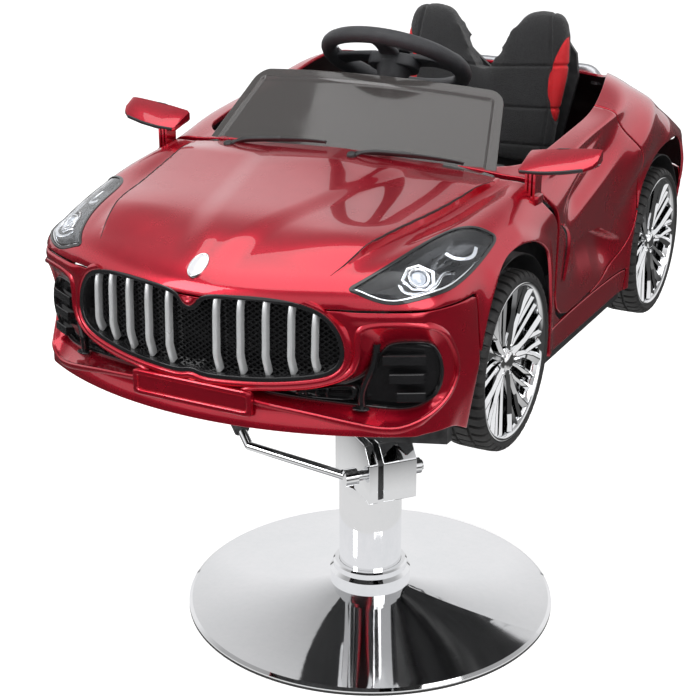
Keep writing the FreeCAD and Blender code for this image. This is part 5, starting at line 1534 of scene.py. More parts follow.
def intake_depths(ring):
    """Where the intake's sloping wall ends, behind each point of its floor's outline."""
    depths = []
    for x, z in ring:
        hit, _ = on_nose(min(x, intake_edge), z)
        extra = 0.022 + 0.3 * max(x - intake_edge, 0.0)
        depths.append(Vector((x - 0.002, hit.y + extra, z)))
    return depths


def intake_insert(depths, seam):
    """The black bead, pan and floor that close an intake."""
    bead = strip(depths, [-way for way in seam],
                 fillet([(0.001, -0.002), (0.001, 0.0022), (-0.0026, 0.0022),
                         (-0.003, -0.002)], 0.0008, closed=True))
    middle = sum(depths, Vector()) / len(depths)
    floor = [point.lerp(middle, 0.04) + Vector((0.0, 0.004, 0.0)) for point in depths]
    pan = funnel([depths, floor])
    count = len(depths)
    flat = bmesh.new()
    half = count // 2
    corners = [flat.verts.new(point) for point in floor]
    for index in range(half - 1):
        flat.faces.new((corners[index], corners[index + 1], corners[count - 2 - index],
                        corners[count - 1 - index]))
    back = thicken(flat, 0.0015, 0.0002, inner_index=0)
    return [bead, pan, back]


def intake_slabs():
    slabs = []
    for z, x0, x1 in ((0.5745, 0.219, 0.262), (0.5515, 0.226, 0.264), (0.5285, 0.234, 0.262)):
        path = []
        for x in np.linspace(x0, x1, 16):
            hit, _ = on_nose(min(x, 0.262), z)
            path.append((x, hit.y + 0.017, z))
        section = fillet([(-0.004, -0.0045), (0.0085, -0.007), (0.0085, 0.0052),
                          (-0.003, 0.003)], 0.0016, 3, closed=True)
        slabs.append(sweep(path, section, up=(0.0, 0.0, 1.0)))
    return slabs


def intake_post():
    """The upright at the intake's inner end, and its foot."""
    post = even_curve([(0.213, 0.0, 0.592), (0.211, -0.001, 0.57), (0.203, -0.003, 0.545),
                       (0.199, -0.003, 0.528), (0.199, -0.002, 0.512)], 20)
    path = []
    for x, shift, z in post:
        hit, _ = on_nose(x, z)
        path.append((x, hit.y + 0.0165 + shift, z))
    post = sweep(path, round_section(0.0042, 12, 1.5), up=(0.0, -1.0, 0.0))
    foot = upright(slab(oval(0.0105, 0.006, 24), 0.0, 0.0025, 0.0008),
                   (path[-1][0], path[-1][1] - 0.004, 0.511), (1.0, 0.25, 0.0), (0.0, 1.0, 0.0))
    return [post, foot]


def intake_pod():
    """The low pod beside the intake, with three ribs."""
    pod = round_corners([(0.122, 0.5215), (0.168, 0.5205), (0.19, 0.52), (0.196, 0.53),
                         (0.192, 0.54), (0.176, 0.5395), (0.15, 0.5335), (0.122, 0.529)], 3)
    pod_rows = []
    for grow, depth in ((1.0, 0.0205), (0.97, 0.0165), (0.9, 0.0148), (0.78, 0.015),
                        (0.72, 0.0175)):
        middle = pod.mean(0)
        row = []
        for x, z in middle + (pod - middle) * grow:
            hit, _ = on_nose(x, z)
            row.append(Vector((x, hit.y + depth, z)))
        pod_rows.append(row)
    pod = funnel(pod_rows)
    ribs = []
    for x in (0.136, 0.148, 0.16):
        hit, _ = on_nose(x, 0.527)
        rib = sweep([(x, hit.y + 0.0175, 0.5215), (x, hit.y + 0.016, 0.527),
                     (x, hit.y + 0.0175, 0.5335)],
                    bar_profile(0.0012, -0.002, 0.0012, 0.0004), up=(0.0, -1.0, 0.0))
        ribs.append(rib)
    return [pod] + ribs


def make_intake():
    """Side intakes: a rolled red rim, a sloping wall, and a black insert with slabs."""
    points, normals = ring_on_nose(mouth_ring)
    ways = ring_frames(points, normals)
    depths = intake_depths(round_corners(mouth_floor, 3))
    rings = []
    for out, up in ((0.0085, -0.0012), (0.006, 0.001), (0.0034, 0.0026), (0.0012, 0.0028),
                    (-0.0004, 0.0014), (-0.001, -0.0015)):
        rings.append([point + way * out + normal * up
                      for point, way, normal in zip(points, ways, normals)])
    last = rings[-1]
    for share in (0.35, 0.7, 1.0):
        rings.append([point.lerp(end, share) for point, end in zip(last, depths)])
    piece("intake_rims", pair(funnel(rings)), paint)
    seam = smooth_ring([(end - point).normalized() for point, end in zip(last, depths)], 1)
    piece("intake_inserts", pair(joined(intake_insert(depths, seam))), gloss_black)
    parts = joined(intake_slabs() + intake_post() + intake_pod())
    piece("intake_slabs", pair(parts), gloss_black, stands_for="intake_louvres")


make_grille()
lattice()
make_bars()
make_plate()
make_badge()
make_intake()


# Headlamps

lamp_eye = Vector((0.2445, -0.3655, 0.661))


def lamp_ring():
    """Points and normals of the lamp's edge on the skin."""
    points = []
    normals = []
    for across, rise in lamp_outline:
        origin = lamp_right * across + lamp_up * rise + lamp_facing * 1.2
        hit, normal = on_skin(origin, -lamp_facing)
        points.append(hit.copy())
        normals.append(normal.copy())
    return points, smooth_ring(normals, 4)


def make_headlamps():
    points, normals = lamp_ring()
    ways = ring_frames(points, normals)
    centre = sum(points, Vector()) / len(points)
    gasket = strip(points, normals, fillet([(0.001, -0.005), (0.0012, 0.0009),
                                            (-0.003, 0.0009), (-0.0034, -0.005)], 0.0007,
                                           closed=True), ways=ways)
    lens = cut_skin([], [grown(in_lamp, -0.0022)])
    bmesh.ops.translate(lens, verts=lens.verts, vec=-lamp_facing * 0.0004)
    lens = thicken(lens, 0.0018, 0.0004, inner_index=0)
    piece("headlamp_lens_pair", pair(lens), clear_lens, outward=False,
          stands_for="headlamp_lenses")
    rings = []
    for inset, depth in ((0.0026, 0.0022), (0.004, 0.007), (0.007, 0.014), (0.0115, 0.02)):
        rings.append([point - way * inset - lamp_facing * depth
                      for point, way in zip(points, ways)])
    deep = centre - lamp_facing * 0.026
    rings += [[point.lerp(deep, share) for point in rings[-1]] for share in (0.3, 0.6, 0.85)]
    count = len(points)
    bowl = to_bmesh([point for ring in rings for point in ring] + [deep],
                    grid_faces(len(rings), count, wrap_columns=True)
                    + [((len(rings) - 1) * count + i, (len(rings) - 1) * count + (i + 1) % count,
                        len(rings) * count) for i in range(count)])
    bowl.normal_update()
    if sum(face.normal.dot(lamp_facing) for face in bowl.faces) < 0.0:
        bmesh.ops.reverse_faces(bowl, faces=bowl.faces)
    bowl = thicken(bowl, 0.0015, 0.0003, inner_index=0)
    piece("headlamp_bowls", pair(bowl), lamp_black, outward=False,
          stands_for="headlamp_housings")
    piece("headlamp_gaskets", pair(gasket), gloss_black)
    lower = [index for index, point in enumerate(points) if is_lower_edge(point)]
    runs = sorted(lower, key=lambda index: points[index].x + (points[index].y + 0.43) * 2.0)
    path = [points[i] - ways[i] * 0.0058 - lamp_facing * 0.0036 for i in runs]
    path = even_curve(path, 60)
    size = [0.25 + 0.75 * math.sin(math.pi * min(0.06 + 0.94 * step / 59, 1.0)) ** 0.5
            for step in range(60)]
    lip = sweep(path, fillet([(-0.0016, -0.0022), (-0.0016, 0.0016), (0.0016, 0.0022),
                              (0.0016, -0.0022)], 0.0007, 2, closed=True),
                up=lamp_facing, scale=size)
    bright = joined([lip] + projector(lamp_eye, 0.0125) + [lamp_bracket(), rear_hook()])
    piece("headlamp_bright_parts", pair(bright), chrome, sharp=40.0)
    piece("headlamp_eyes", pair(bulb_glass(lamp_eye, 0.0092)), eye_glass)
    fins = []
    base = Vector((0.232, -0.3, 0.664))
    for step in range(5):
        place = base + Vector((0.0085, 0.0, 0.0)) * step
        fin = sweep([place, place + Vector((0.004, 0.02, 0.004))],
                    [(-0.0008, -0.003), (0.0008, -0.003), (0.0006, 0.003), (-0.0006, 0.003)],
                    up=lamp_facing)
        fins.append(fin)
    piece("headlamp_fins", pair(joined(fins)), lamp_black)


def is_lower_edge(point):
    """Whether a point of the lamp's edge is on its lower and outer run."""
    return point.z < 0.6645 and (point.x > 0.24 or point.z < 0.6585) and point.y < -0.285


def lamp_frame(place):
    """A matrix whose x and y lie across the lamp and whose z faces out of it."""
    right = Vector((0.62, 0.72, 0.1)).normalized()
    out = lamp_facing
    right = (right - out * right.dot(out)).normalized()
    up = out.cross(right)
    return Matrix.Translation(place) @ Matrix((right, up, out)).transposed().to_4x4()


def projector(place, radius):
    """The ringed eye of the lamp in its angular bright surround."""
    matrix = lamp_frame(place)
    ring = lathe(fillet([(radius * 0.76, 0.0), (radius * 0.8, 0.0052), (radius, 0.006),
                         (radius * 1.06, 0.004), (radius * 1.06, 0.0)], 0.0006, closed=True),
                 40, closed=True)
    ring = moved(ring, matrix)
    diamond = [(-1.75, 0.15), (-0.75, 1.3), (0.55, 1.42), (1.75, 0.35), (1.3, -0.95),
               (0.35, -1.4), (-1.1, -1.05)]
    outer = [(x * radius, y * radius) for x, y in diamond]
    inner = [(x * radius * 0.8, y * radius * 0.8) for x, y in diamond]
    rows = [[(x, y, 0.0) for x, y in outer], [(x, y, 0.004) for x, y in outer],
            [(x, y, 0.0032) for x, y in inner], [(x, y, 0.0) for x, y in inner]]
    surround = rows_mesh(rows, wrap_rows=True)
    bmesh.ops.recalc_face_normals(surround, faces=surround.faces)
    bmesh.ops.bevel(surround, geom=list(surround.edges), offset=0.0005, segments=2,
                    affect="EDGES", profile=0.5)
    surround = moved(surround, matrix)
    return [ring, surround]


def bulb_glass(place, radius):
    rows = [(radius, 0.0015)]
    for turn in np.linspace(0.15, math.pi / 2.0, 7):
        rows.append((radius * math.cos(turn), 0.0015 + 0.55 * radius * math.sin(turn)))
    return moved(lathe(rows, 32), lamp_frame(place))


def lamp_bracket():
    """A bright angular arm from the eye towards the lamp's outer edge."""
    path = even_curve([(0.23, -0.383, 0.657), (0.24, -0.39, 0.652),
                       (0.256, -0.383, 0.651), (0.266, -0.364, 0.656),
                       (0.266, -0.342, 0.664), (0.274, -0.33, 0.664)], 34)
    return sweep(path, bar_profile(0.0022, -0.0015, 0.0012, 0.0006, 2), up=lamp_facing)


def rear_hook():
    """The hook-shaped light in the lamp's rear corner."""
    path = even_curve([(0.25, -0.302, 0.675), (0.26, -0.301, 0.671),
                       (0.27, -0.293, 0.669), (0.2745, -0.279, 0.67),
                       (0.2715, -0.264, 0.6755)], 34)
    return sweep(path, bar_profile(0.0024, -0.0014, 0.0014, 0.0007, 2), up=lamp_facing)


make_headlamps()


# Windshield, dashboard and steering wheel

# The shield's corners as half width, y and z, then y and z of its middle at foot and top
shield_foot = (0.2225, -0.092, 0.707)
shield_top = (0.1885, 0.016, 0.8045)
shield_foot_middle = (-0.1115, 0.7225)
shield_top_middle = (0.003, 0.8135)


def between(low, high, share):
    return [first + (second - first) * share for first, second in zip(low, high)]


def shield_place(across, rise):
    """A point on the shield: across from -1 to 1, rise from 0 at its foot to 1 at its top."""
    half, edge_y, edge_z = between(shield_foot, shield_top, rise)
    mid_y, mid_z = between(shield_foot_middle, shield_top_middle, rise)
    bow = across * across
    return Vector((half * across, mid_y + (edge_y - mid_y) * bow,
                   mid_z + (edge_z - mid_z) * bow))


def make_shield():
    """The smoked windshield: a bowed sheet with rounded corners and an embossed border."""
    columns, rows = 200, 60
    width = 0.41
    height = (shield_place(0.0, 1.0) - shield_place(0.0, 0.0)).length
    corner = 0.02
    points = []
    for row in range(rows):
        for column in range(columns):
            points.append((2.0 * column / (columns - 1) - 1.0, row / (rows - 1)))
    flat = np.array(points)
    away_x = (1.0 - np.abs(flat[:, 0])) * width / 2.0
    away_z = np.minimum(flat[:, 1], 1.0 - flat[:, 1]) * height
    border = np.where((away_x < corner) & (away_z < corner),
                      corner - np.hypot(corner - away_x, corner - away_z),
                      np.minimum(away_x, away_z))
    emboss = -0.0034 * smooth_step(border, 0.0115, 0.0165)
    places = []
    for (across, rise), lift in zip(points, emboss):
        here = shield_place(across, rise)
        side = shield_place(across + 0.01, rise) - shield_place(across - 0.01, rise)
        up = shield_place(across, rise + 0.01) - shield_place(across, rise - 0.01)
        places.append(here + side.cross(up).normalized() * lift)
    mesh = to_bmesh(places, grid_faces(rows, columns))
    mesh.verts.ensure_lookup_table()
    tree = KDTree(len(places))
    for index, place in enumerate(places):
        tree.insert(place, index)
    tree.balance()

    def beyond(p):
        found = []
        for place in p:
            found.append(-border[tree.find(Vector(place))[1]])
        return np.array(found)

    trim(mesh, beyond, keep_below=True, snap=0.3)
    mesh.normal_update()
    if sum(face.normal.y for face in mesh.faces) > 0.0:
        bmesh.ops.reverse_faces(mesh, faces=mesh.faces)
    mesh = thicken(mesh, 0.003, 0.0008, inner_index=0)
    piece("shield", mesh, smoked, outward=False, stands_for="windshield")


def make_wipers():
    """Two thin wipers along the shield's foot, each with a pivot, arm and blade."""
    parts = []
    for start in (-0.17, 0.03):
        path = []
        for share in np.linspace(0.0, 1.0, 26):
            across = (start + 0.15 * share) / shield_foot[0]
            place = shield_place(across, 0.06 + 0.075 * math.sin(math.pi * 0.55 * share))
            side = shield_place(across + 0.01, 0.05) - shield_place(across - 0.01, 0.05)
            up = shield_place(across, 0.06) - shield_place(across, 0.04)
            path.append(place + side.cross(up).normalized() * 0.0052)
        sizes = [1.0 - 0.35 * abs(2.0 * step / 25 - 1.0) for step in range(26)]
        parts.append(sweep(path, fillet([(-0.0032, -0.003), (-0.0012, 0.0034),
                                         (0.0012, 0.0034), (0.0032, -0.003)], 0.001, 2,
                                        closed=True), up=(0.0, -0.7, 0.7), scale=sizes))
        arm = [path[0] + Vector((0.0, -0.012, -0.004)), path[3] + Vector((0.0, -0.01, 0.003)),
               path[9] + Vector((0.0, -0.005, 0.003)), path[13] + Vector((0.0, -0.001, 0.002))]
        parts.append(sweep(even_curve(arm, 16), round_section(0.0026, 8, 0.7),
                           up=(0.0, -0.7, 0.7)))
        parts.append(lathe(fillet([(0.0, 0.006), (0.0058, 0.005), (0.0068, 0.0), (0.0068, -0.01),
                                   (0.0, -0.01)], 0.0012), 20,
                           arm[0] + Vector((0.0, 0.0, 0.001)), (0.0, -0.35, 0.94)))
    piece("wiper_pair", joined(parts), grained_black, stands_for="wipers")


def make_cowl():
    """The black strip with slots where the shield meets the bonnet."""
    rows = []
    for out, rise in ((-0.016, -0.055), (-0.013, 0.01), (-0.0045, 0.013), (-0.003, -0.02)):
        row = []
        for across in np.linspace(-1.0, 1.0, 60):
            row.append(shield_place(across, rise) + Vector((0.0, out, 0.0006)))
        rows.append(row)
    mesh = rows_mesh(rows, wrap_rows=True, wrap_columns=False)
    cap_holes(mesh)
    piece("cowl_strip", mesh, grained_black, sharp=30.0)


def steering_frame():
    """A matrix whose z runs along the steering shaft, out of the wheel's middle."""
    axis = Vector((0.0, math.sin(wheel_tilt), math.cos(wheel_tilt)))
    right = Vector((1.0, 0.0, 0.0))
    up = axis.cross(right)
    return (Matrix.Translation(wheel_centre)
            @ Matrix((right, up, axis)).transposed().to_4x4())


def make_wheel(place):
    """The steering wheel: padded ring, three spokes and hub."""
    ring_radius = 0.0975
    path = []
    sizes = []
    turns = 120
    for step in range(turns):
        turn = 2.0 * math.pi * step / turns
        path.append((ring_radius * math.cos(turn), ring_radius * math.sin(turn), 0.0))
        grip = 0.0
        for middle in (math.radians(12), math.radians(168)):
            gap = abs((turn - middle + math.pi) % (2.0 * math.pi) - math.pi)
            grip = max(grip, float(smooth_step(gap, 0.5, 0.36)))
        sizes.append(1.0 + 0.1 * grip)
    rim = sweep(path, round_section(0.0108, 16, 1.05), closed=True, scale=sizes)
    parts = [rim]
    for middle in (0.0, math.pi, -math.pi / 2.0):
        wide = 0.016 if middle >= 0.0 else 0.013
        spoke = []
        for share in np.linspace(0.0, 1.0, 12):
            reach = 0.027 + (ring_radius - 0.027 - 0.004) * share
            spoke.append((reach * math.cos(middle), reach * math.sin(middle),
                          0.004 - 0.006 * share + 0.01 * share * (1.0 - share)))
        section = fillet([(-wide, -0.0045), (-wide, 0.003), (0.0, 0.006), (wide, 0.003),
                          (wide, -0.0045)], 0.003, 3, closed=True)
        scale = [1.15 - 0.3 * math.sin(math.pi * step / 11) for step in range(12)]
        parts.append(sweep(spoke, section, up=(0.0, 0.0, 1.0), scale=scale))
    hub = round_corners([(-0.034, -0.024), (0.034, -0.024), (0.04, 0.004), (0.022, 0.028),
                         (-0.022, 0.028), (-0.04, 0.004)], 3)
    parts.append(slab(hub, -0.012, 0.006, 0.003, 4))
    parts.append(lathe(fillet([(0.018, -0.034), (0.026, -0.01), (0.026, -0.006)], 0.004), 32))
    whole = joined([moved(part, place) for part in parts])
    piece("steering_ring", whole, dark_grey, "steering", sharp=40.0,
          stands_for="steering_wheel")


def make_wheel_trims(place):
    """The bright lines along the ring's inner side."""
    trims = []
    for middle in (0.0, math.pi):
        line = []
        for share in np.linspace(0.0, 1.0, 20):
            turn = middle + (share - 0.5) * 0.62
            line.append((0.087 * math.cos(turn), 0.087 * math.sin(turn), 0.0045))
        trims.append(sweep(line, bar_profile(0.0016, -0.002, 0.0012, 0.0006, 2)))
    trims = joined([moved(part, place) for part in trims])
    piece("steering_trim", trims, satin_silver, "steering")


def make_horn_cap(place):
    pad = round_corners([(-0.022, -0.018), (0.022, -0.018), (0.0235, 0.004), (0.014, 0.021),
                         (-0.014, 0.021), (-0.0235, 0.004)], 3)
    rows = []
    for grow, height in ((0.98, 0.0118), (1.0, 0.0135), (0.97, 0.0156), (0.86, 0.0172),
                         (0.6, 0.0186), (0.3, 0.0194), (0.0, 0.0196)):
        rows.append([(x * grow, y * grow, height) for x, y in pad])
    faces = grid_faces(len(rows), len(pad), wrap_columns=True)
    faces.append(tuple(reversed(range(len(pad)))))
    pad = moved(to_bmesh([point for row in rows for point in row], faces), place)
    piece("horn_cap", pad, dark_grey, "horn", sharp=50.0, stands_for="horn_pad")


make_shield()
make_wipers()
make_cowl()
wheel_place = steering_frame()
make_wheel(wheel_place)
make_wheel_trims(wheel_place)
make_horn_cap(wheel_place)


# Seat

cloth_frames = 20
back_lean = math.radians(6.0)
back_foot = (0.4115, 0.612)


def back_frame(x, out, up):
    """A point of the seat back: x across, out from its rear face, up along its lean."""
    y = back_foot[0] - out * math.cos(back_lean) + up * math.sin(back_lean)
    z = back_foot[1] + out * math.sin(back_lean) * 0.3 + up * math.cos(back_lean)
    return Vector((x, y, z))


def back_outline():
    """The seat back from the front, as (x, up): two peaks with a notch between them."""
    return [(0.0, 0.004), (0.06, 0.002), (0.11, 0.004), (0.126, 0.03), (0.134, 0.08),
            (0.142, 0.13), (0.1455, 0.165), (0.143, 0.206), (0.134, 0.236), (0.116, 0.2445),
            (0.078, 0.244), (0.064, 0.234), (0.05, 0.214), (0.034, 0.19),
            (0.012, 0.158), (0.0, 0.15)]


def make_seat_back():
    """The padded seat back: pressed from inside by a cloth simulation, then sewn."""
    half = even_curve(back_outline(), 60)
    half[:, 0] = np.maximum(half[:, 0], 0.0)
    outline = [tuple(point) for point in half] + [(-x, up) for x, up in half[-2:0:-1]]
    outline = np.array(outline)
    low = 0.007
    high = 0.04
    middle = np.array((0.0, 0.095))
    rows = []
    for inset, out in ((0.86, low), (0.95, low + 0.001), (0.985, low + 0.006),
                       (0.985, high - 0.01), (0.955, high - 0.003), (0.88, high)):
        rows.append([back_frame(x, out, up) for x, up in middle + (outline - middle) * inset])
    made = inflated("back_cushion", capped_rows(rows), voxel=0.005, pressure=1.8, cap=0.005)
    sew(made, back_seams())
    colour_inset(made)
    dress(made, [seat_cover, seat_red], "seat_back")


def capped_rows(rows):
    """A closed form from rings that mirror left to right: ladders of faces close its ends."""
    mesh = rows_mesh(rows)
    mesh.verts.ensure_lookup_table()
    count = len(rows[0])
    for row in (0, len(rows) - 1):
        corners = [mesh.verts[row * count + i] for i in range(count)]
        for step in range(count // 2):
            ring = []
            for index in (step, (step + 1) % count, -step - 1, -step):
                if corners[index] not in ring:
                    ring.append(corners[index])
            if len(ring) > 2 and mesh.faces.get(ring) is None:
                mesh.faces.new(ring)
    bmesh.ops.recalc_face_normals(mesh, faces=mesh.faces)
    return mesh


def inflated(name, mesh, voxel, pressure, cap):
    """Remesh a closed form evenly, blow it up as cloth, and limit how far it moves."""
    data = bpy.data.meshes.new(name)
    mesh.to_mesh(data)
    mesh.free()
    made = bpy.data.objects.new(name, data)
    scene = bpy.context.scene
    scene.collection.objects.link(made)
    remesh = made.modifiers.new("remesh", "REMESH")
    remesh.mode = "VOXEL"
    remesh.voxel_size = voxel
    apply_live(made)
    start = np.array([corner.co for corner in made.data.vertices])
    cloth = made.modifiers.new("cloth", "CLOTH")
    settings = cloth.settings
    settings.use_pressure = True
    settings.uniform_pressure_force = pressure
    settings.quality = 6
    settings.mass = 0.25
    settings.tension_stiffness = 22.0
    settings.compression_stiffness = 22.0
    settings.bending_stiffness = 2.5
    settings.effector_weights.gravity = 0.0
    cloth.collision_settings.use_collision = False
    cloth.collision_settings.use_self_collision = False
    for frame_number in range(1, cloth_frames + 1):
        scene.frame_set(frame_number)
    apply_live(made)
    end = np.array([corner.co for corner in made.data.vertices])
    move = end - start
    length = np.linalg.norm(move, axis=1)
    limited = cap * np.tanh(length / cap) / np.maximum(length, 1e-9)
    place = start + move * limited[:, None]
    made.data.vertices.foreach_set("co", place.ravel())
    scene.frame_set(1)
    smooth = made.modifiers.new("smooth", "CORRECTIVE_SMOOTH")
    smooth.use_only_smooth = True
    smooth.iterations = 6
    finer = made.modifiers.new("finer", "SUBSURF")
    finer.levels = 1
    finer.render_levels = 1
    apply_live(made)
    return made


def apply_live(made):
    """Turn an object's modifiers into its mesh."""
    graph = bpy.context.evaluated_depsgraph_get()
    graph.update()
    fresh = bpy.data.meshes.new_from_object(made.evaluated_get(graph), depsgraph=graph)
    made.modifiers.clear()
    made.data = fresh


def sew(made, seams):
    """Press seams into a padded piece: each is a distance function, a width and a depth."""
    mesh = bmesh.new()
    mesh.from_mesh(made.data)
    near = np.zeros(len(mesh.faces), dtype=bool)
    centres = np.array([face.calc_center_median() for face in mesh.faces])
    for distance, width, _ in seams:
        near |= np.abs(distance(centres)) < width * 1.6
    edges = {edge for face, close in zip(mesh.faces, near) if close for edge in face.edges}
    bmesh.ops.subdivide_edges(mesh, edges=list(edges), cuts=1, use_grid_fill=True)
    mesh.normal_update()
    places = np.array([corner.co for corner in mesh.verts])
    sink = np.zeros(len(places))
    for distance, width, depth in seams:
        gap = np.abs(distance(places))
        sink = np.maximum(sink, depth * np.exp(-(gap / (0.38 * width)) ** 2))
    for corner, amount in zip(mesh.verts, sink):
        if amount > 1e-6:
            corner.co -= corner.normal * float(amount)
    mesh.to_mesh(made.data)
    mesh.free()


def back_places(p):
    """Points as (x, up) in the plane of the seat back."""
    y = p[:, 1] - back_foot[0]
    z = p[:, 2] - back_foot[1]
    return p[:, 0], y * math.sin(back_lean) + z * math.cos(back_lean)


def back_seams():
    def level(height, rise):
        def distance(p):
            x, up = back_places(p)
            return up - height - rise * np.abs(x) / 0.15
        return distance, 0.006, 0.0026

    def side(p):
        x, up = back_places(p)
        return np.abs(x) - 0.108 - 0.01 * np.sin(np.clip(up, 0.0, 0.24) / 0.24 * math.pi)

    return [level(0.03, 0.004), level(0.088, 0.006), level(0.15, 0.012),
            (side, 0.006, 0.0022)]


def red_inset(p):
    """Distance from the lens-shaped red part of each side of the seat back."""
    x, up = back_places(p)
    rise = np.clip((up - 0.05) / 0.16, 0.0, 1.0)
    inner = 0.1395 - 0.0245 * np.sin(math.pi * rise) ** 0.9
    out = back_foot[0] - p[:, 1] + up * math.sin(back_lean)
    return np.maximum(np.maximum(inner - np.abs(x), 0.0195 - out), np.abs(up - 0.13) - 0.08)


def colour_inset(made):
    """Give the red inset its own finish, with a seam pressed round it."""
    mesh = bmesh.new()
    mesh.from_mesh(made.data)
    score(mesh, red_inset, snap=0.25)
    centres = np.array([face.calc_center_median() for face in mesh.faces])
    for face, gap in zip(mesh.faces, red_inset(centres)):
        face.material_index = 1 if gap < 0.0 else 0
    mesh.normal_update()
    gaps = np.abs(red_inset(np.array([corner.co for corner in mesh.verts])))
    for corner, gap in zip(mesh.verts, gaps):
        if gap < 0.004:
            corner.co -= corner.normal * 0.0016 * math.exp(-(gap / 0.0016) ** 2)
    mesh.to_mesh(made.data)
    mesh.free()


def dress(made, finishes, stands_for):
    """Finishes, smooth shading and body of a cushion."""
    for finish in finishes:
        made.data.materials.append(finish)
    for face in made.data.polygons:
        face.use_smooth = True
    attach(made, "carriage")
    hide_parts(stands_for)


def make_cushion():
    """The seat cushion: a crowned pad with a centre panel and side rolls."""
    low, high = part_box("seat_cushion")
    inset = 0.007
    x1 = high.x - inset
    y0, y1 = low.y + inset, high.y - inset
    outline = round_corners([(-x1, y0 + 0.012), (-x1 * 0.86, y0), (x1 * 0.86, y0),
                             (x1, y0 + 0.012), (x1 * 0.97, y1), (-x1 * 0.97, y1)], 3)
    outline = even_curve(outline, 96, closed=True)
    start = max(range(len(outline)), key=lambda i: -abs(outline[i][0]) - (outline[i][1] - y0) * 2)
    outline = np.roll(outline, -start, axis=0)
    middle = np.array((0.0, (y0 + y1) / 2.0))
    floor = low.z + 0.002
    top = high.z - 0.008
    rows = []
    for grow, height in ((0.93, floor), (0.99, floor + 0.003), (1.0, floor + 0.01),
                         (1.0, top - 0.008), (0.97, top - 0.002), (0.9, top)):
        rows.append([(x, y, height) for x, y in middle + (outline - middle) * grow])
    made = inflated("seat_pad", capped_rows(rows), voxel=0.0055, pressure=3.0, cap=0.007)
    sew(made, [(lambda p: np.abs(p[:, 0]) - 0.085, 0.007, 0.003),
               (lambda p: p[:, 1] - 0.215, 0.007, 0.0024),
               (lambda p: p[:, 1] - 0.29, 0.007, 0.0024)])
    dress(made, [seat_cover], "seat_cushion")


make_seat_back()
make_cushion()


# Wheels

def make_tyre():
    """A tyre about the X axis, outer side towards +X, with ribs and shoulder blocks."""
    outer = [(0.0, 0.118, 0.0, 0.0, 1), (0.0085, 0.118, 0.0, 0.0, 1),
             (0.0095, 0.115, 0.0, 0.0, 0), (0.012, 0.115, 0.0, 0.0, 0),
             (0.013, 0.1179, 0.0, 0.003, 0), (0.02, 0.1177, 0.0, 0.0032, 0),
             (0.0262, 0.1168, 0.0003, 0.0032, 0), (0.0298, 0.1148, 0.0016, 0.0022, 0),
             (0.032, 0.112, 0.0018, 0.0008, 0), (0.0326, 0.11, 0.0012, 0.0, 0),
             (0.0327, 0.1092, 0.0, 0.0, 0), (0.033, 0.1086, 0.0, 0.0, 0),
             (0.033, 0.1074, 0.0, 0.0, 0), (0.0325, 0.1068, 0.0, 0.0, 0),
             (0.032, 0.1052, 0.0, 0.0, 0), (0.03, 0.1038, 0.0, 0.0, 0),
             (0.027, 0.1032, 0.0, 0.0, 0), (0.0262, 0.1, 0.0, 0.0, 0)]
    profile = [(-x, r, dx, dr, rib) for x, r, dx, dr, rib in outer[:0:-1]] + outer
    pitches = 46
    shares = (0.0, 0.05, 0.3, 0.35, 0.52, 0.56, 0.72, 0.76)
    cut = (0.0, 1.0, 1.0, 0.0, 0.0, 0.0, 0.0, 0.0)
    sipe = (0.0, 0.0, 0.0, 0.0, 0.0, 1.0, 1.0, 0.0)
    points = []
    for x, r, dx, dr, rib in profile:
        for pitch in range(pitches):
            for share, deep, thin in zip(shares, cut, sipe):
                slant = 0.25 * abs(x) / 0.03 * (1.0 if x > 0.0 else -1.0)
                turn = 2.0 * math.pi * (pitch + share + slant) / pitches
                radius = r - dr * deep - 0.0022 * thin * rib
                place = x - math.copysign(dx * deep, x)
                points.append((place, radius * math.cos(turn), radius * math.sin(turn)))
    count = pitches * len(shares)
    return to_bmesh(points, grid_faces(len(profile), count, wrap_rows=True, wrap_columns=True))


def blade(stations):
    """A ridged spoke: stations are (place in the wheel's plane, half width, face, drop)."""
    rows = []
    for index, (place, half, face, drop) in enumerate(stations):
        before = np.array(stations[max(index - 1, 0)][0])
        after = np.array(stations[min(index + 1, len(stations) - 1)][0])
        run = (after - before) / np.linalg.norm(after - before)
        side = np.array((-run[1], run[0]))
        shoulder = face - drop
        row = []
        for across, x in ((-1.0, shoulder - 0.012), (-1.0, shoulder), (-0.12, face),
                          (0.12, face), (1.0, shoulder), (1.0, shoulder - 0.012)):
            y, z = np.array(place) + side * half * across
            row.append((x, y, z))
        rows.append(row)
    mesh = rows_mesh(rows, foot=True, crown=True)
    bmesh.ops.recalc_face_normals(mesh, faces=mesh.faces)
    return mesh


def at_turn(radius, degrees):
    turn = math.radians(degrees)
    return radius * math.cos(turn), radius * math.sin(turn)


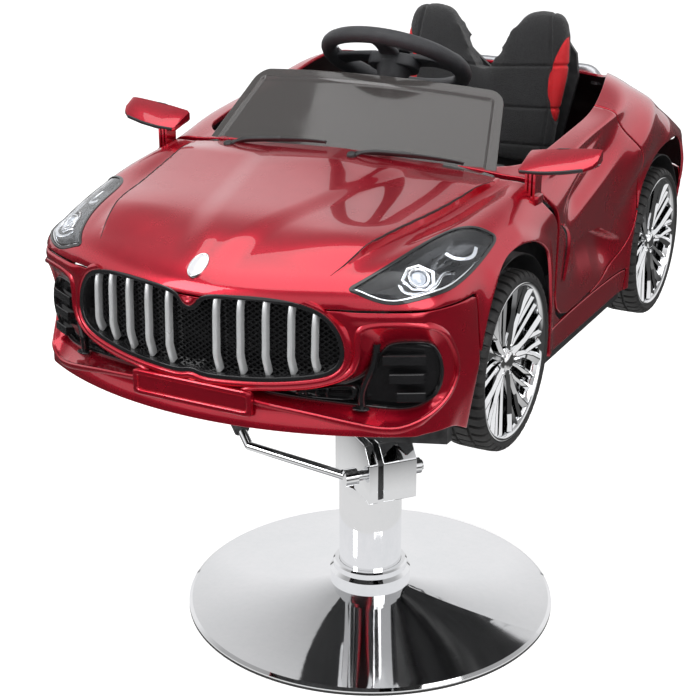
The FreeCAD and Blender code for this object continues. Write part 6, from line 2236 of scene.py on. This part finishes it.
def make_rim():
    """A bright faceted rim about the X axis: finish 0 is bright, finish 1 the dark depth."""
    unit = []
    for sign in (1.0, -1.0):
        unit.append(blade([(at_turn(0.014, 3.0 * sign), 0.0048, 0.02, 0.003),
                           (at_turn(0.032, 8.0 * sign), 0.0052, 0.0215, 0.0036),
                           (at_turn(0.056, 9.5 * sign), 0.0048, 0.0228, 0.0036),
                           (at_turn(0.078, 13.5 * sign), 0.006, 0.0255, 0.0042),
                           (at_turn(0.0975, 17.0 * sign), 0.0085, 0.0285, 0.003)]))
        unit.append(blade([(at_turn(0.058, 9.5 * sign), 0.003, 0.0215, 0.0026),
                           (at_turn(0.078, 6.0 * sign), 0.0038, 0.024, 0.003),
                           (at_turn(0.0975, 4.6 * sign), 0.0052, 0.0275, 0.0026)]))
        unit.append(blade([(at_turn(0.02, 22.0 * sign), 0.003, 0.015, 0.002),
                           (at_turn(0.05, 27.0 * sign), 0.003, 0.0175, 0.0024),
                           (at_turn(0.097, 31.0 * sign), 0.0046, 0.024, 0.003)]))
    for turns in ((-16.0, -10.0, -5.0), (5.0, 10.0, 16.0)):
        unit.append(blade([(at_turn(0.0975, turn), 0.003, 0.0262, 0.0016) for turn in turns]))
    fifth = 2.0 * math.pi / 5
    spokes = repeated(joined(unit), ring_tree, 5, fifth, chrome)
    bolt = lathe(fillet([(0.0, 0.0225), (0.0022, 0.0225), (0.0026, 0.0205), (0.0034, 0.02),
                         (0.0034, 0.016)], 0.0004, 2), 6, axis=(1.0, 0.0, 0.0))
    bolts = repeated(moved(bolt, Matrix.Translation((0.0, 0.0195, 0.0))), ring_tree, 5,
                     fifth, chrome)
    lip = lathe(fillet([(0.0955, -0.029), (0.0955, 0.018), (0.0972, 0.0262), (0.099, 0.0295),
                        (0.102, 0.0308), (0.1036, 0.0296), (0.1036, 0.0262), (0.1, 0.0235),
                        (0.0988, 0.017), (0.0988, -0.026), (0.1036, -0.029),
                        (0.103, -0.0308), (0.099, -0.03)], 0.001, 3, closed=True), 128,
                axis=(1.0, 0.0, 0.0), closed=True)
    cap = lathe(fillet([(0.0, 0.0245), (0.0085, 0.024), (0.012, 0.0222), (0.0128, 0.0196),
                        (0.015, 0.019), (0.0172, 0.0176), (0.018, 0.006)], 0.0012, 3), 48,
                axis=(1.0, 0.0, 0.0))
    bright = [painted(mesh, 0) for mesh in (spokes, bolts, lip, cap)]
    disc = lathe(fillet([(0.0, 0.004), (0.03, 0.004), (0.034, -0.001), (0.066, -0.002),
                         (0.069, -0.006), (0.092, -0.008), (0.0952, -0.012),
                         (0.0952, -0.016), (0.0, -0.014)], 0.0014, 3), 96, axis=(1.0, 0.0, 0.0))
    hub = lathe(fillet([(0.0, 0.004), (0.024, 0.002), (0.026, -0.029), (0.0, -0.03)],
                       0.002, 3), 40, axis=(1.0, 0.0, 0.0))
    dark = [painted(mesh, 1) for mesh in (disc, hub)]
    return joined(bright), joined(dark)


def make_wheels():
    tyre = make_tyre()
    bright, dark = make_rim()
    for end, axle in (("front", front_axle), ("rear", rear_axle)):
        for side, sign in (("left", 1.0), ("right", -1.0)):
            body = f"wheel_{end}_{side}"
            place = Matrix.Translation((sign * (tyre_outer - tyre_width / 2.0), axle[0], axle[1]))
            place = place @ Matrix.Diagonal((sign, 1.0, 1.0, 1.0))
            low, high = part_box(f"rim_{end}_{side}")
            rim_place = Matrix.Translation(((low.x + high.x) / 2.0, axle[0], axle[1]))
            rim_place = rim_place @ Matrix.Diagonal((sign, 1.0, 1.0, 1.0))
            piece(f"tread_{end}_{side}", moved(tyre.copy(), place), tyre_rubber, body,
                  sharp=28.0, stands_for=f"tyre_{end}_{side}")
            piece(f"spokes_{end}_{side}", moved(bright.copy(), rim_place), chrome,
                  body, sharp=22.0, stands_for=f"rim_{end}_{side}")
            piece(f"rim_depth_{end}_{side}", moved(dark.copy(), rim_place), gloss_black,
                  body, sharp=30.0)
    for mesh in (tyre, bright, dark):
        mesh.free()


def make_liners():
    """The dark wheel wells: part of a drum over each wheel, closed on its inner side."""
    radius = 0.139
    for name, axle in (("front", front_axle), ("rear", rear_axle)):
        parts = []
        for sign in (1.0, -1.0):
            rows = []
            for reach, x in ((0.62, 0.196), (0.96, 0.196), (1.0, 0.202), (1.0, 0.284)):
                row = []
                for step in range(49):
                    turn = math.radians(-14.0 + 208.0 * step / 48)
                    row.append((sign * x, axle[0] + radius * reach * math.cos(turn),
                                axle[1] + radius * reach * math.sin(turn)))
                rows.append(row)
            parts.append(thicken(rows_mesh(rows, wrap_columns=False), 0.0016, 0.0004,
                                 inner_index=0))
        piece(f"wheel_well_{name}", joined(parts), grained_black, outward=False)


make_wheels()
make_liners()


# Mirrors, hoop, lamps and gill

def make_mirror(side, sign):
    """A mirror: a red wedge with a flat top, a black rear face and a black slot below."""
    low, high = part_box(f"mirror_{side}")
    inner = min(abs(low.x), abs(high.x))
    outer = max(abs(low.x), abs(high.x))
    span = outer - inner
    rows = []
    edges = []
    for share, front, lip, top, deep in (
            (0.0, 0.1, 0.2, 0.62, 0.3), (0.03, 0.02, 0.16, 0.7, 0.46),
            (0.3, 0.02, 0.2, 0.82, 0.58), (0.6, 0.08, 0.3, 0.92, 0.66),
            (0.86, 0.2, 0.42, 0.99, 0.7), (0.96, 0.36, 0.54, 1.0, 0.62),
            (1.0, 0.54, 0.66, 0.98, 0.4)):
        x = sign * (inner + span * share)
        y0 = low.y + (high.y - low.y) * front
        z0 = low.z + (high.z - low.z) * lip
        z1 = low.z + (high.z - low.z) * top
        drop = (high.z - low.z) * deep
        section = fillet([(y0 + 0.0035, z0 - 0.0042), (y0, z0 - 0.0034), (y0, z0 + 0.0016),
                          (high.y - 0.0012, z1), (high.y, z1 - 0.0016),
                          (high.y, z1 - drop)], 0.001, 2, closed=True)
        rows.append([(x, y, z) for y, z in section])
        edges.append((x, y0 - 0.0006, z0 - 0.0004))
    mesh = rows_mesh(rows, foot=True, crown=True)
    piece(f"mirror_cup_{side}", mesh, paint, f"mirror_{side}", sharp=32.0,
          stands_for=f"mirror_{side}")
    y1 = high.y + 0.0004
    x0, x1 = inner + span * 0.24, outer - span * 0.07
    z0, z1 = low.z + (high.z - low.z) * 0.3, low.z + (high.z - low.z) * 0.9
    frame_outline = round_corners([(x0, z0 + 0.004), (x1, z0 - 0.004), (x1, z1),
                                   (x0 + 0.006, z1)], 2)
    face_line = [(x * sign, z) for x, z in frame_outline]
    black = slab(face_line, 0.0, 0.0016, 0.0006)
    moved(black, Matrix.Translation((0.0, y1 - 0.0012, 0.0))
          @ Matrix.Rotation(math.radians(90.0), 4, "X"))
    piece(f"mirror_bezel_{side}", black, grained_black, f"mirror_{side}")
    rows = [Vector(edges[0]).lerp(Vector(edges[1]), 0.9)] + edges[2:5]
    strip_mesh = sweep(even_curve(rows, 24), fillet([(-0.0022, -0.0016), (0.0022, -0.0016),
                                                     (0.0022, 0.001), (-0.0022, 0.001)],
                                                    0.0006, 2, closed=True),
                       up=(0.0, -0.8, -0.5))
    piece(f"mirror_slot_{side}", strip_mesh, grained_black, f"mirror_{side}")


def mirror_stalk(sign):
    """A mirror's finned stalk on its foot."""
    stalk = []
    pivot = Vector((sign * 0.277, -0.098, 0.0))
    for step, reach in enumerate((0.0, 0.0055, 0.011)):
        fin = [(pivot.x + sign * (reach - 0.006), pivot.y - 0.0115),
               (pivot.x + sign * (reach - 0.003), pivot.y - 0.0115),
               (pivot.x + sign * (reach - 0.003), pivot.y + 0.0115),
               (pivot.x + sign * (reach - 0.006), pivot.y + 0.0115)]
        stalk.append(slab(fin, 0.692, 0.7345 * (1.0 - 0.002 * step), 0.0008, 2))
    foot = fillet([(pivot.x + sign * -0.01, pivot.y - 0.0125),
                   (pivot.x + sign * 0.012, pivot.y - 0.0105),
                   (pivot.x + sign * 0.012, pivot.y + 0.0105),
                   (pivot.x + sign * -0.01, pivot.y + 0.0125)], 0.003, 3, closed=True)
    stalk.append(slab(foot, 0.6915, 0.703, 0.0012, 2))
    core = round_section(0.006, 16)
    stalk.append(slab([(pivot.x + x, pivot.y + y) for x, y in core], 0.695, 0.7355,
                       0.0006, 2))
    return stalk


def make_mirrors():
    stalks = []
    for side, sign in (("left", 1.0), ("right", -1.0)):
        make_mirror(side, sign)
        stalks += mirror_stalk(sign)
    piece("mirror_fins", joined(stalks), paint, sharp=40.0, stands_for="mirror_stalks")


def make_hoop():
    """The silver hoop behind the seat."""
    half, foot, top, y, radius = 0.161, 0.735, 0.756, 0.481, 0.0095
    path = [(-half, y, foot), (-half, y, 0.742), (-half + 0.006, y, 0.7505),
            (-half + 0.016, y, top - 0.0005)]
    path += [(x, y, top) for x in np.linspace(-0.12, 0.12, 9)]
    path += [(-x, y_, z) for x, y_, z in path[3::-1]]
    mesh = sweep(even_curve(path, 70), round_section(radius, 18), up=(0.0, 1.0, 0.0))
    piece("hoop_bar", mesh, satin_silver, stands_for="rear_hoop")


def make_gill():
    """The V-shaped vent behind each front wheel: dark slot, bright-edged red blade."""
    line = even_curve([(-0.026, 0.645), (-0.004, 0.634), (0.0105, 0.612), (0.0125, 0.585),
                       (0.0085, 0.556)], 40)
    for sign, side in ((1.0, "left"), (-1.0, "right")):
        path = []
        for y, z in line:
            place, normal = on_skin((0.6, y, z), (-1.0, 0.0, 0.0))
            place = place + normal * 0.0002
            path.append((sign * place.x, place.y, place.z))
        sizes = [0.35 + 0.65 * math.sin(math.pi * index / (len(path) - 1)) ** 0.7
                 for index in range(len(path))]
        mesh = sweep(path, bar_profile(0.0042, -0.002, 0.0006, 0.0008, 2),
                     up=(sign, 0.0, 0.0), scale=sizes)
        piece(f"gill_slot_{side}", mesh, gloss_black, f"door_{side}")
        blade_path = [(x + sign * 0.0012, y + 0.0052, z) for x, y, z in path]
        mesh = sweep(blade_path, fillet([(-0.0034, -0.004), (-0.003, 0.0016), (0.0012, 0.003),
                                         (0.0042, -0.003)], 0.0012, 3, closed=True),
                     up=(sign, 0.0, 0.0), scale=sizes)
        piece(f"gill_blade_{side}", mesh, paint, f"door_{side}")


def make_tail_lamps():
    """Tail lamps: dark cups in the tail with ribbed red lenses."""
    low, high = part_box("tail_lamps")
    lenses, cups = [], []
    for sign in (1.0, -1.0):
        rows = []
        for rise in np.linspace(0.0, 1.0, 15):
            row = []
            z = low.z + 0.003 + (high.z - low.z - 0.006) * rise
            for share in np.linspace(0.0, 1.0, 30):
                x = 0.13 + 0.12 * share
                place, normal = on_skin((x, 1.2, z), (0.0, -1.0, 0.0))
                rib = 0.0008 * abs(math.sin(rise * math.pi * 5.0))
                place = place - normal * (0.0022 + rib)
                row.append((sign * place.x, place.y, place.z))
            rows.append(row)
        mesh = rows_mesh(rows, wrap_columns=False)
        mesh.normal_update()
        if sum(face.normal.y for face in mesh.faces) < 0.0:
            bmesh.ops.reverse_faces(mesh, faces=mesh.faces)
        cup = mesh.copy()
        for corner in cup.verts:
            corner.co.y -= 0.012
        lenses.append(thicken(mesh, 0.0022, 0.0008, inner_index=0))
        cups.append(thicken(cup, 0.0015, 0.0004, inner_index=0))
    piece("tail_lens_pair", joined(lenses), red_lens, outward=False,
          stands_for="tail_lamps")
    piece("tail_lamp_cups", joined(cups), lamp_black, outward=False)


make_mirrors()
make_hoop()
make_gill()
make_tail_lamps()


# Pump

def make_pump_head():
    """The pump head's bright housing: a chamfered block, a cheek and the slot between."""
    turn = math.radians(50.0)
    forward = Vector((math.sin(turn), -math.cos(turn), 0.0))
    side = Vector((-math.cos(turn), -math.sin(turn), 0.0))
    matrix = Matrix((side, forward, Vector((0.0, 0.0, 1.0)))).transposed().to_4x4()
    parts = []
    foot, crown, face_top = 0.2005, 0.2875, 0.263
    for across, wide in ((-0.0115, 0.0265), (0.0305, 0.007)):
        x0, x1 = across - wide, across + wide
        outline = [(-0.0515, foot), (0.0845, foot), (0.0845, face_top), (0.064, crown),
                   (-0.0515, crown)]
        outline = fillet(outline, 0.0022, 3, closed=True)
        block = slab(outline, x0, x1, 0.0014, 3)
        order = Matrix(((0.0, 0.0, 1.0, 0.0), (1.0, 0.0, 0.0, 0.0), (0.0, 1.0, 0.0, 0.0),
                        (0.0, 0.0, 0.0, 1.0)))
        parts.append(moved(block, matrix @ order))
    piece("pump_head", joined(parts), chrome, sharp=30.0, stands_for="lever_housing")
    inner = slab(fillet([(-0.05, foot + 0.001), (0.076, foot + 0.001), (0.076, 0.256),
                         (0.06, 0.2855), (-0.05, 0.2855)], 0.001, 2, closed=True),
                 0.014, 0.024, 0.0004, 2)
    piece("pump_head_slot", moved(inner, matrix @ order), gloss_black)


def dress_nodes():
    """Finishes for the CAD nodes that stay in view."""
    table = ((turned_chrome, ("base_disc", "column_collar", "pump_cylinder", "column_sleeve",
                              "neck_nut", "ram", "pump_plunger")),
             (chrome, ("pump_lever", "base_bolts")),
             (grained_black, ("lever_pedal", "dashboard", "seat_shell", "steering_bracket",
                              "chassis_pan", "headlamp_housings")),
             (ring_rubber, ("floor_ring",)),
             (black_iron, ("base_weight", "mounting_plate", "chassis_frame")),
             (bearing_bronze, ("guide_bush",)),
             (dull_steel, ("mounting_bolts", "front_axle_beam", "rear_axle", "steering_shaft",
                           "tie_rod", "knuckle_left", "knuckle_right")))
    for finish, names in table:
        for name in names:
            if name in nodes:
                for slot in nodes[name].material_slots:
                    slot.material = finish


make_pump_head()
dress_nodes()


# Studio

def blended(tree, share, first, second):
    """Two shaders mixed by a share."""
    made = add(tree, "ShaderNodeMixShader")
    for socket, output in zip(made.inputs, (share, first, second)):
        tree.links.new(output, socket)
    return made.outputs[0]


def make_world():
    """Even fill, white for the camera, and for reflections bright low down and dark above."""
    world = bpy.data.worlds.new("studio")
    bpy.context.scene.world = world
    world.use_nodes = True
    tree = world.node_tree
    fill = tree.nodes["Background"]
    white = add(tree, "ShaderNodeBackground")
    room = add(tree, "ShaderNodeBackground")
    for made, strength in ((fill, 0.52), (white, 1.0), (room, 1.0)):
        made.inputs["Strength"].default_value = strength
        made.inputs["Color"].default_value = (1.0, 1.0, 1.0, 1.0)
    spread = add(tree, "ShaderNodeSeparateXYZ")
    tree.links.new(add(tree, "ShaderNodeTexCoord").outputs["Generated"], spread.inputs[0])
    ramp = add(tree, "ShaderNodeValToRGB")
    tree.links.new(ranged(tree, spread.outputs["Z"], -1.0, 1.0, 0.0, 1.0), ramp.inputs[0])
    stops = ((0.0, 0.3), (0.5, 0.8), (0.58, 0.9), (0.72, 0.86), (0.83, 0.42), (1.0, 0.3))
    while len(ramp.color_ramp.elements) < len(stops):
        ramp.color_ramp.elements.new(1.0)
    for stop, (place, level) in zip(ramp.color_ramp.elements, stops):
        stop.position = place
        stop.color = (level, level, level * 1.01, 1.0)
    tree.links.new(ramp.outputs[0], room.inputs["Color"])
    path = add(tree, "ShaderNodeLightPath")
    seen = math_node(tree, "MAXIMUM", path.outputs["Is Camera Ray"],
                     path.outputs["Is Transmission Ray"])
    unseen = blended(tree, path.outputs["Is Glossy Ray"], fill.outputs[0], room.outputs[0])
    blend = blended(tree, seen, unseen, white.outputs[0])
    tree.links.new(blend, tree.nodes["World Output"].inputs["Surface"])


def make_floor():
    mesh = bmesh.new()
    bmesh.ops.create_grid(mesh, x_segments=8, y_segments=8, size=9.0)
    data = bpy.data.meshes.new("studio_floor")
    mesh.to_mesh(data)
    mesh.free()
    floor = bpy.data.objects.new("studio_floor", data)
    bpy.context.scene.collection.objects.link(floor)
    pale = finish_of("pale_floor", (0.9, 0.9, 0.9), (0.88, 0.88, 0.88), rough=(0.5, 0.6))
    tree = pale.node_tree
    shader = tree.nodes["Principled BSDF"]
    path = add(tree, "ShaderNodeLightPath")
    shader.inputs["Emission Color"].default_value = (1.0, 1.0, 1.0, 1.0)
    lit = math_node(tree, "MULTIPLY", path.outputs["Is Camera Ray"], 0.64)
    tree.links.new(lit, shader.inputs["Emission Strength"])
    # For glossy rays the floor is an emission, not a lit surface: a painted reflection, bright near
    # the middle and dark further out
    room = add(tree, "ShaderNodeEmission")
    length = add(tree, "ShaderNodeVectorMath", operation="LENGTH")
    tree.links.new(add(tree, "ShaderNodeTexCoord").outputs["Object"], length.inputs[0])
    level = ranged(tree, length.outputs["Value"], 0.42, 1.1, 0.74, 0.06)
    tree.links.new(level, room.inputs["Strength"])
    blend = blended(tree, path.outputs["Is Glossy Ray"], shader.outputs[0], room.outputs[0])
    tree.links.new(blend, tree.nodes["Material Output"].inputs["Surface"])
    data.materials.append(pale)


def softbox(name, place, aim, size, power):
    light = bpy.data.lights.new(name, "AREA")
    light.shape = "RECTANGLE"
    light.size = size[0]
    light.size_y = size[1]
    light.energy = power
    made = bpy.data.objects.new(name, light)
    bpy.context.scene.collection.objects.link(made)
    made.location = place
    made.rotation_euler = (Vector(aim) - Vector(place)).to_track_quat("-Z", "Y").to_euler()


make_world()
make_floor()
softbox("overhead_box", (0.1, -0.5, 3.0), (0.0, 0.0, 0.5), (3.4, 2.8), 58.0)
softbox("window_box", (2.4, -1.6, 2.2), (0.0, 0.0, 0.6), (1.8, 1.8), 22.0)
softbox("front_box", (-1.5, -2.6, 1.8), (0.0, 0.0, 0.6), (0.8, 1.6), 20.0)

view_turn = math.radians(27.766)
view_rise = math.radians(20.9)
camera_data = bpy.data.cameras.new("photo_camera")
camera_data.lens = 77.14
camera = bpy.data.objects.new("photo_camera", camera_data)
bpy.context.scene.collection.objects.link(camera)
camera.location = (0.9339, -1.8411, 1.197)
view_back = Vector((math.sin(view_turn) * math.cos(view_rise),
                    -math.cos(view_turn) * math.cos(view_rise), math.sin(view_rise)))
camera.rotation_mode = "QUATERNION"
camera.rotation_quaternion = (-view_back).to_track_quat("-Z", "Y")
camera_data.clip_start = 0.05
camera_data.clip_end = 60.0
bpy.context.scene.camera = camera
bpy.context.scene.view_settings.view_transform = "Standard"
